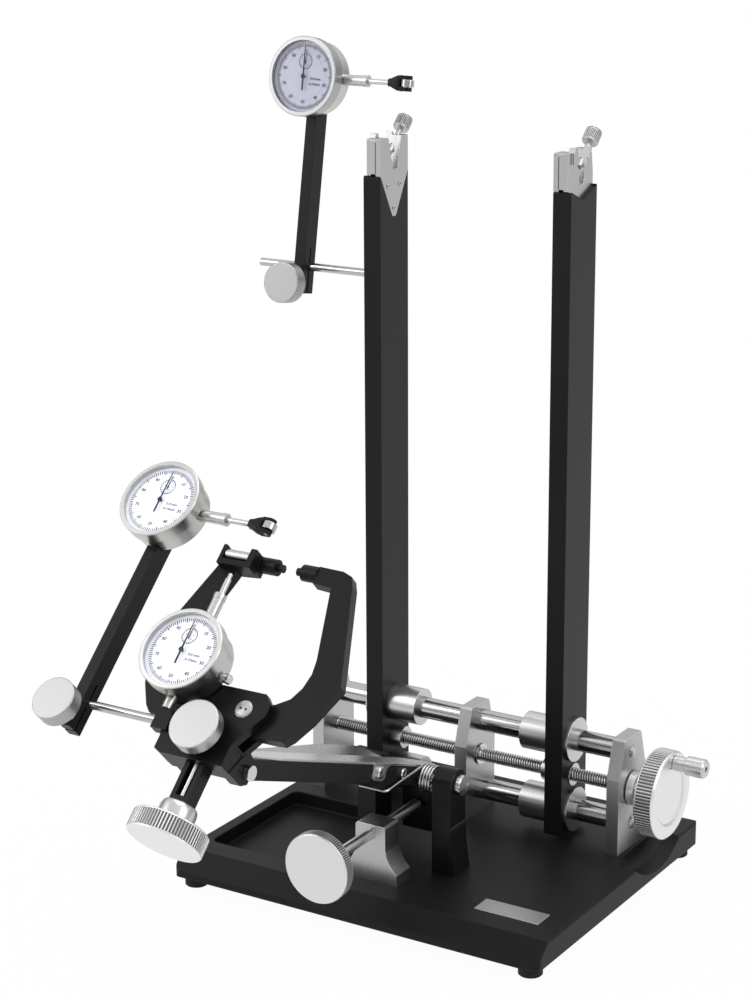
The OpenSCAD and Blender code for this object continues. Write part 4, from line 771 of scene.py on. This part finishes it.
for name, (at, case_body, card) in dials.items():
    ring = [annulus(17.05, 25.97, CARD_BASE, CARD_TOP, card)]
    for count, length, width in ((100, 2.3, 0.55), (20, 2.8, 0.62), (10, 3.3, 0.7)):
        ring.append(ticks(count, TICK_END, length, width))
    for i in range(10):
        ring.append(words(str(10 * i), 3.4, *on_dial(NUMERAL_R, i), INK_AT, ink, 0.08))
    joined(f"{name}_dial_ring", f"{name}_bezel", [(m, at) for m in ring])

    middle = [turning([(16.98, CARD_BASE), (16.98, CARD_TOP)], card, 2 * ROUND),
              moved(annulus(5.3, 5.75, 11.09, 11.14, ink, ROUND), 0, COUNTER_Y, 0)]
    for count, length in ((20, 0.9), (10, 1.5)):
        middle.append(ticks(count, COUNTER_TICK_END, length, 0.32, COUNTER_Y))
    for i in range(0, 10, 2):
        x, y = on_dial(COUNTER_NUMERAL_R, i)
        middle.append(words(str(i), 1.5, x, COUNTER_Y + y, INK_AT, ink, 0.03))
    middle.append(words("0.01mm", 2.8, 9.4, -1.4, INK_AT, ink, 0.07))
    middle.append(words("0-10mm", 2.8, 9.0, -5.2, INK_AT, ink, 0.07))
    joined(f"{name}_dial_middle", case_body, [(m, at) for m in middle])

    dome = [(25.95, 14.0), (25.95, 14.3), (25.4, 14.5), (20, 14.75), (12, 14.88), (4, 14.94), (0.5, 14.95)]
    joined(f"{name}_crystal", f"{name}_bezel", [(turning(dome, clear, 2 * ROUND), at)])
print("dials dressed:", ", ".join(dials))

# %% [markdown]
# Knurled rims. The handwheel, the adjuster's knob and the caliper's wheel carry straight ridges that
# stand a little proud of the plain rims. A bump in the material would cost no faces, but it leaves the
# outline smooth, so the ridges are bars on a ring, over a band of painted shade that keeps the grooves
# between them dark.

# %% Knurls
def knurl(count, r, length, proud, share):
    """Ridges along an axis; share is how much of the rim they cover."""
    width = 2 * math.pi * r / count * share
    return ring_of(round_ring, count, r - 0.1, (2 * proud + 0.2, width, length), ridge)


def rim_of(name, at, count, r, length, proud, share=0.6, body=None):
    """A knurled rim; it rides on the body of its own name unless another is given."""
    band = annulus(r - 0.5, r + 0.05, -length / 2 + 0.2, length / 2 - 0.2, groove_painted_shade)
    joined(f"{name}_ridges", body or name, [(knurl(count, r, length, proud, share), at), (band, at)])


rim_middle = box_of("handwheel")[1].x - 7.7
rim_of("handwheel", place((rim_middle, 0, SCREW_Z), **along_screw), 84, 32, 12.2, 0.5, 0.68, "screw")
rim_of("adjuster_knob", place(middle_of("adjuster_knob"), (1, 0, 0), (0, 0, 1), (0, -1, 0)), 96, 25, 7.0, 0.4)
rim_of("caliper_wheel", place(middle_of("caliper_wheel"), HX, HZ, -HY), 76, 25, 11.6, 0.5)
bowl = [(22.9, 161.0), (22.9, 161.9), (22.3, 161.5), (20.5, 160.5), (17.5, 159.7), (13, 159.3), (7, 159.1),
        (0.5, 159.05)]
joined("handwheel_dish", "screw", [(turning(bowl, dish, 2 * ROUND), SCREW_AXIS)])
print("large knurls made")

# %% [markdown]
# The thumb screws have finer ridges and a chamfered top. Each stands on the slope of its axle head and
# leans back with it, so its frame is built on the leaning axis.

# %% Thumb screws
thumb_lean = math.radians(44.5)
thumb_axis = Vector((0, math.sin(thumb_lean), math.cos(thumb_lean)))
thumb_x = middle_of("thumb_screw_right").x
for side, s in SIDES:
    thumb = place(Vector((s * thumb_x, 1.2, 512)) + thumb_axis * 32, HX, thumb_axis.cross(HX), thumb_axis)
    # The band under the ridges is painted shade in the grooves.
    screw_head = [knurl(30, 5.75, 7.6, 0.2, 0.6), annulus(5.3, 5.79, -3.7, 3.7, groove_painted_shade),
                  turning([(5.75, 4.9), (5.5, 5.25), (4.6, 5.45)], ridge)]
    joined(f"thumb_{side}_ridges", f"thumb_{side}", [(m, thumb) for m in screw_head])
print("thumb screws knurled")

# %% [markdown]
# The lead screw is cut with opposite hands on its two halves, so that one turn moves the two uprights in
# opposite directions. It replaces the plain solid. The thread has two starts. It could be cut with a
# boolean, but a loft whose radius follows the helix is lighter and closes by itself.

# %% Lead screw
SCREW_R, LEAD, STARTS, THREAD_DEPTH = 5, 4, 2, 0.75
THREAD_END, THREAD_START = 120, 6.6


def thread(x0, x1, hand, n=32):
    """A threaded length; its roots run out over 1.5 mm at both ends."""
    rings = []
    steps = int((x1 - x0) / LEAD * 20)
    for i in range(steps + 1):
        x = x0 + (x1 - x0) * i / steps
        run_out = min((x - x0) / 1.5, (x1 - x) / 1.5, 1)
        ring = []
        for j in range(n):
            a = 2 * math.pi * j / n
            along = STARTS * (x / LEAD - hand * j / n) % 1
            drop = min(max((0.5 - abs(along - 0.5)) * 6 - 0.9, 0), 1)
            r = SCREW_R - THREAD_DEPTH * drop * run_out
            ring.append((r * math.cos(a), r * math.sin(a), x))
        rings.append(ring)
    mesh = loft(rings, rolled, sharp=60)
    # Faces deep in the roots wear the groove's painted shade.
    mesh.materials.append(groove_painted_shade)
    for face in mesh.polygons:
        if math.hypot(face.center.x, face.center.y) < SCREW_R - 0.6 * THREAD_DEPTH:
            face.material_index = 1
    return mesh


screw = [thread(-THREAD_END, -THREAD_START, -1), thread(THREAD_START, THREAD_END, 1),
         turning([(4.98, -132), (5, -131.6), (5, -119.9)], ground),
         turning([(5, 119.9), (5, 157.5), (4.6, 158.4)], ground),
         turning([(5, -THREAD_START), (5, THREAD_START)], ground)]
for s in (-1, 1):
    screw.append(annulus(4.9, 8, s * 5.3, s * 6.5, nickel, ROUND))
joined("lead_screw_threaded", "screw", [(m, SCREW_AXIS) for m in screw])
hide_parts("lead_screw")
print("lead screw threaded")

# %% [markdown]
# The torsion spring, wound from round wire: a hook under the arm, a leg, the coil, and a leg into the
# right post. A curve with a bevel would make it too. Here the same loft carries a ring of points along
# the path, with its up direction handed on from point to point, so the wire never twists.

# %% Spring
def bent_wire(points, r, mat, n=12):
    rings = []
    up = Vector((0, 0, 1))
    for i, p in enumerate(points):
        ahead = (points[min(i + 1, len(points) - 1)] - points[max(i - 1, 0)]).normalized()
        up = (up - ahead * up.dot(ahead)).normalized()
        across = ahead.cross(up)
        turns_round = [2 * math.pi * j / n for j in range(n)]
        rings.append([tuple(p + across * r * math.cos(a) + up * r * math.sin(a)) for a in turns_round])
    return loft(rings, mat, sharp=60)


turns, lift, coil_r, wire_r = 4.5, 2.45, 9.2, 0.95
coil_start = 21.5 - turns * lift / 2
coil_end = coil_start + turns * lift
under_arm = -10.45 - wire_r
PER_TURN = 32
hook = arm_at(0, 50.5, under_arm) - PIVOT
path = [Vector((-6 + 2 * i, hook.y, hook.z)) for i in range(11)]
path += [Vector((coil_start - 1.2 * math.cos(a), hook.y + 1.2 * math.sin(a), hook.z))
         for a in (math.radians(d) for d in (30, 60, 90))]
corner, coil_top = path[-1], Vector((coil_start, 0, coil_r))
path += [corner.lerp(coil_top, i / 12) for i in range(1, 12)]
path += [Vector((coil_start + lift * i / PER_TURN, coil_r * math.sin(2 * math.pi * i / PER_TURN),
                 coil_r * math.cos(2 * math.pi * i / PER_TURN))) for i in range(int(turns * PER_TURN) + 1)]
path += [Vector((coil_end, -y, -coil_r)) for y in (2, 4, 6)]
path += [Vector((coil_end + 0.7, -7.6, -coil_r)), Vector((coil_end + 1.2, -8, -coil_r)),
         Vector((28.9, -8, -coil_r))]
joined("torsion_spring_wire", "base", [(bent_wire(path, wire_r, wire), place(PIVOT))])
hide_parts("torsion_spring")
print("spring wound through", len(path), "points")

# %% [markdown]
# Screws. Socket heads hold the guide rods' ends, the pointed plates and the arm's cover. The caliper's
# arms turn on flat screws with two pin holes, and a small headed screw locks the centre gauge. There are
# few of each and every group sits on another face, so loops over their places are simpler than a tree.

# %% Screws on the base and the uprights
ROD_HEIGHTS = (99.5, 45)
end_heads = []
for z in ROD_HEIGHTS:
    for s, face in ((-1, left_face), (1, right_face)):
        seat = place((s * PLATE_OUT, 0, z), **face)
        end_heads += [(m, seat) for m in socket_screw(4.8, 0.8, 5.4, ground, 0.3)]
joined("end_plate_screws", "base", end_heads)
for side, s, face in (("left", -1, right_face), ("right", 1, left_face)):
    heads = []
    for y, z in ((-8, 494.1), (8, 494.1), (0, 477.3)):
        seat = place((s * VEE_IN, y, z), **face)
        heads += [(m, seat) for m in socket_screw(1.9, 0.7, 1.7, ground, 0.2)]
    joined(f"vee_plate_screws_{side}", f"carriage_{side}", heads)
print("screws on the base and the uprights made")

# %% [markdown]
# Cap heads stand on the flanks of the arm's cover. The caliper's pivots are flat discs in the shaded knob
# aluminium, with two small holes of painted shade. The lock screw points out of the centre gauge's rim,
# so its frame turns with its place on the circle.

# %% Screws on the arm and the head
cover_heads = []
for s, face in ((-1, left_face), (1, right_face)):
    for x, y, r in ((15.5, 63.5, 4.4), (14, 29, 3.6)):
        seat = place(arm_at(s * x, y, 1.8), **face)
        cover_heads += [(m, seat) for m in socket_screw(r, 2.2, 2.6, nickel, 0.7)]
joined("arm_cover_screws", "arm", cover_heads)
pivots = []
for s in (-1, 1):
    spot = place(head_at(s * 19, -105, 10.3), HX, HY, HZ)
    pivots.append((turning([(5.7, -SINK), (5.7, 0.35), (5.3, 0.6)], knob_face_shaded), spot))
    for pin in (-1.9, 1.9):
        pivots.append((moved(turning([(0.9, 0.5), (0.9, 0.64)], hole_painted_shade, 16), pin, 0, 0), spot))
joined("caliper_pivot_screws", "head", pivots)
lock_turn = math.radians(-12)
outward = HX * math.cos(lock_turn) + HY * math.sin(lock_turn)
around = HY * math.cos(lock_turn) - HX * math.sin(lock_turn)
lock = turning([(1.6, -2), (1.6, 1.2), (3.0, 1.3), (3.2, 1.6), (3.2, 5.6), (2.8, 6.1)], nickel)
lock_seat = place(back_of("centre", HZ) - HZ * 3 + outward * 27.5, around, HZ, outward)
joined("centre_lock_screw", "head", [(lock, lock_seat)])
print("screws on the arm and the head made")

# %% [markdown]
# The posts that carry the main arm are castings with round tops, and each flares a little towards its
# foot on the outer side. A cube and a cylinder could be united, but one outline of the side view already
# has the round top. The flare is a thin wedge of the front view.

# %% Posts
def half_round(y, r, low, high, n=24):
    """A slab on edge with a half circle on top, as points of the side view."""
    top = [(y + r * math.cos(math.pi * i / n), high + r * math.sin(math.pi * i / n)) for i in range(n + 1)]
    return [(y - r, low), (y + r, low)] + top


ALONG_X = place((0, 0, 0), (0, 1, 0), (0, 0, 1), (1, 0, 0))
ALONG_Y = place((0, 0, 0), (1, 0, 0), (0, 0, -1), (0, 1, 0))
POST_WIDE, POST_HALF_DEEP = 15, 11
side_view = half_round(PIVOT.y, POST_HALF_DEEP, BASE_TOP, PIVOT.z)
flare_steps = ((-0.5, 62), (-0.02, 62), (0.3, 54), (0.9, 46), (1.9, 37), (3.6, BASE_TOP), (-0.5, BASE_TOP))
flare_half = POST_HALF_DEEP - SINK
posts = []
for s, inner in ((1, 29), (-1, 18)):
    outer = s * (inner + POST_WIDE)
    posts.append((prism(side_view, *sorted((s * inner, outer)), paint), ALONG_X))
    flare = [(outer + s * out, -z) for out, z in flare_steps]
    posts.append((prism(flare, PIVOT.y - flare_half, PIVOT.y + flare_half, paint), ALONG_Y))
joined("pivot_posts_round", "base", posts)
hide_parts("pivot_posts")
print("posts rounded")

# %% [markdown]
# The caliper's slide is an open channel with the silver screw in it, and a neck joins it to its wheel. It
# is drawn down the head from one outline, with a closed block below the open length.

# %% Slide
DOWN = place(HEAD, HX, HZ, -HY)
slide_box = [(-7, -5), (7, -5), (7, 6), (-7, 6)]
slide_open = [(-7, -5), (7, -5), (7, 6), (3.7, 6), (3.7, 1.2), (-3.7, 1.2), (-3.7, 6), (-7, 6)]
neck = [(9.4, 172.2), (10.8, 172.6), (11.6, 173.6), (12.4, 176.5), (12.4, 185.2)]
slide = [prism(slide_open, 121, 168, paint), prism(slide_box, 168, 173, paint),
         moved(turning([(1.7, 121), (1.7, 168)], rod_bright, 24), 0, 3.2, 0),
         moved(turning(neck, turned), 0, 0.5, 0)]
joined("caliper_slide_channel", "slide", [(m, DOWN) for m in slide])
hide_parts("caliper_slide")
print("slide opened")

# %% [markdown]
# The silver cover of the arm is wider on its left, where it reaches out over the post. Four cross
# sections in the arm's frame are enough for a loft: the last two taper it towards the head.

# %% Cover wing
wing = []
for y0, y1, inner, tip, tip_low, tip_high in (
        (12, 14, -13.9, -33, 11.2, 12.4), (70, 70, -13.9, -33, 11.2, 12.4),
        (130, 130, -13.9, -24, 9.2, 10.4), (195, 195, -13.5, -15, 7.2, 8.5)):
    section = ((inner, y0, 6.8), (inner, y0, 8.2), (tip, y1, tip_high), (tip, y1, tip_low))
    wing.append([tuple(arm_at(*point) - PIVOT) for point in section])
joined("arm_cover_wing", "arm", [(loft(wing, brushed, sharp=5), place(PIVOT))])
print("cover widened")

# %% [markdown]
# The roller forks on two of the plungers swell from the rod to a yoke with rounded prongs and a steel
# pin. A loft through rounded squares gives the swelling, and the prongs are flat plates with a half-round
# end.

# %% Forks
def soft_square(x, half_y, half_z, n=32):
    """A square with rounded corners, across the plunger at x."""
    ring = []
    for i in range(n):
        c, s = math.cos(2 * math.pi * i / n), math.sin(2 * math.pi * i / n)
        ring.append((x, half_y * math.copysign(abs(c) ** 0.4, c), half_z * math.copysign(abs(s) ** 0.4, s)))
    return ring


PIN_X, PRONG_R = 81, 3.3
swell = [(65.5, 2.3, 2.3), (66.3, 2.9, 2.9), (68, 3.1, 3.0), (73, 5.4, 3.2), (76, 5.8, 3.3),
         (76.2, 5.6, 3.2)]
prong = [(75.5, -PRONG_R), (75.5, PRONG_R)]
for i in range(16):
    a = math.radians(90 - 12 * i)
    prong.append((PIN_X + PRONG_R * math.cos(a), PRONG_R * math.sin(a)))
for gauge in ("upper", "side"):
    fork = [loft([soft_square(*section) for section in swell], paint)]
    for s in (-1, 1):
        fork.append(loft([[(x, s * y, z) for x, z in prong] for y in (2.8, 5.5)], paint))
    fork.append(loft([[(PIN_X + a, y, b) for a, b, _ in circle(1.2, 0, 24)] for y in (-5.8, 5.8)], nickel))
    fork.append(loft([[(x, a, b) for a, b, _ in circle(2, 0, 24)] for x in (-20, 66)], nickel))
    joined(f"{gauge}_plunger_fork", f"{gauge}_plunger", [(m, dials[gauge][0]) for m in fork])
    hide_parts(f"{gauge}_plunger")
print("forks made")

# %% [markdown]
# A dark line runs down the front corner of each axle head, where its chamfered edge turns from the light.
# It is painted shade: a thin dark strip stands a hair proud of the face.

# %% Painted edge shade
for side, s in SIDES:
    x0, x1 = s * VEE_OUT - 0.3, s * VEE_OUT + 0.3
    y0, y1 = VEE_FRONT - 0.04, VEE_FRONT + 0.5
    strip = [(x0, y0), (x1, y0), (x1, y1), (x0, y1)]
    joined(f"head_edge_shade_{side}", f"carriage_{side}", [(prism(strip, 503.6, 526.0, hole_painted_shade), STAND)])
print("joint lines made")

# %% [markdown]
# The small plate on the base's front corner has nothing on it: a bare stamped strip with softened edges.
# A cube with a Bevel modifier would look alike, but the loft rounds its corners and its upper edge
# separately.

# %% Bare plate
def slab(x0, x1, y0, y1, z0, z1, round_by, mat):
    """A plate with round corners and a chamfer on top."""
    corners = ((x1 - round_by, y1 - round_by, 0), (x0 + round_by, y1 - round_by, 90),
               (x0 + round_by, y0 + round_by, 180), (x1 - round_by, y0 + round_by, 270))

    def outline(inset, z):
        points = []
        r = round_by - inset
        for cx, cy, start in corners:
            for i in range(7):
                a = math.radians(start + 15 * i)
                points.append((cx + r * math.cos(a), cy + r * math.sin(a), z))
        return points

    chamfer = (z1 - z0) * 0.4
    return loft([outline(0, z0), outline(0, z1 - chamfer), outline(chamfer, z1)], mat)


plate = slab(85, 135, -150, -132, BASE_TOP - 0.1, BASE_TOP + 0.6, 1.0, brushed_plate)
joined("bare_plate", "base", [(plate, STAND)])
print("plate made")
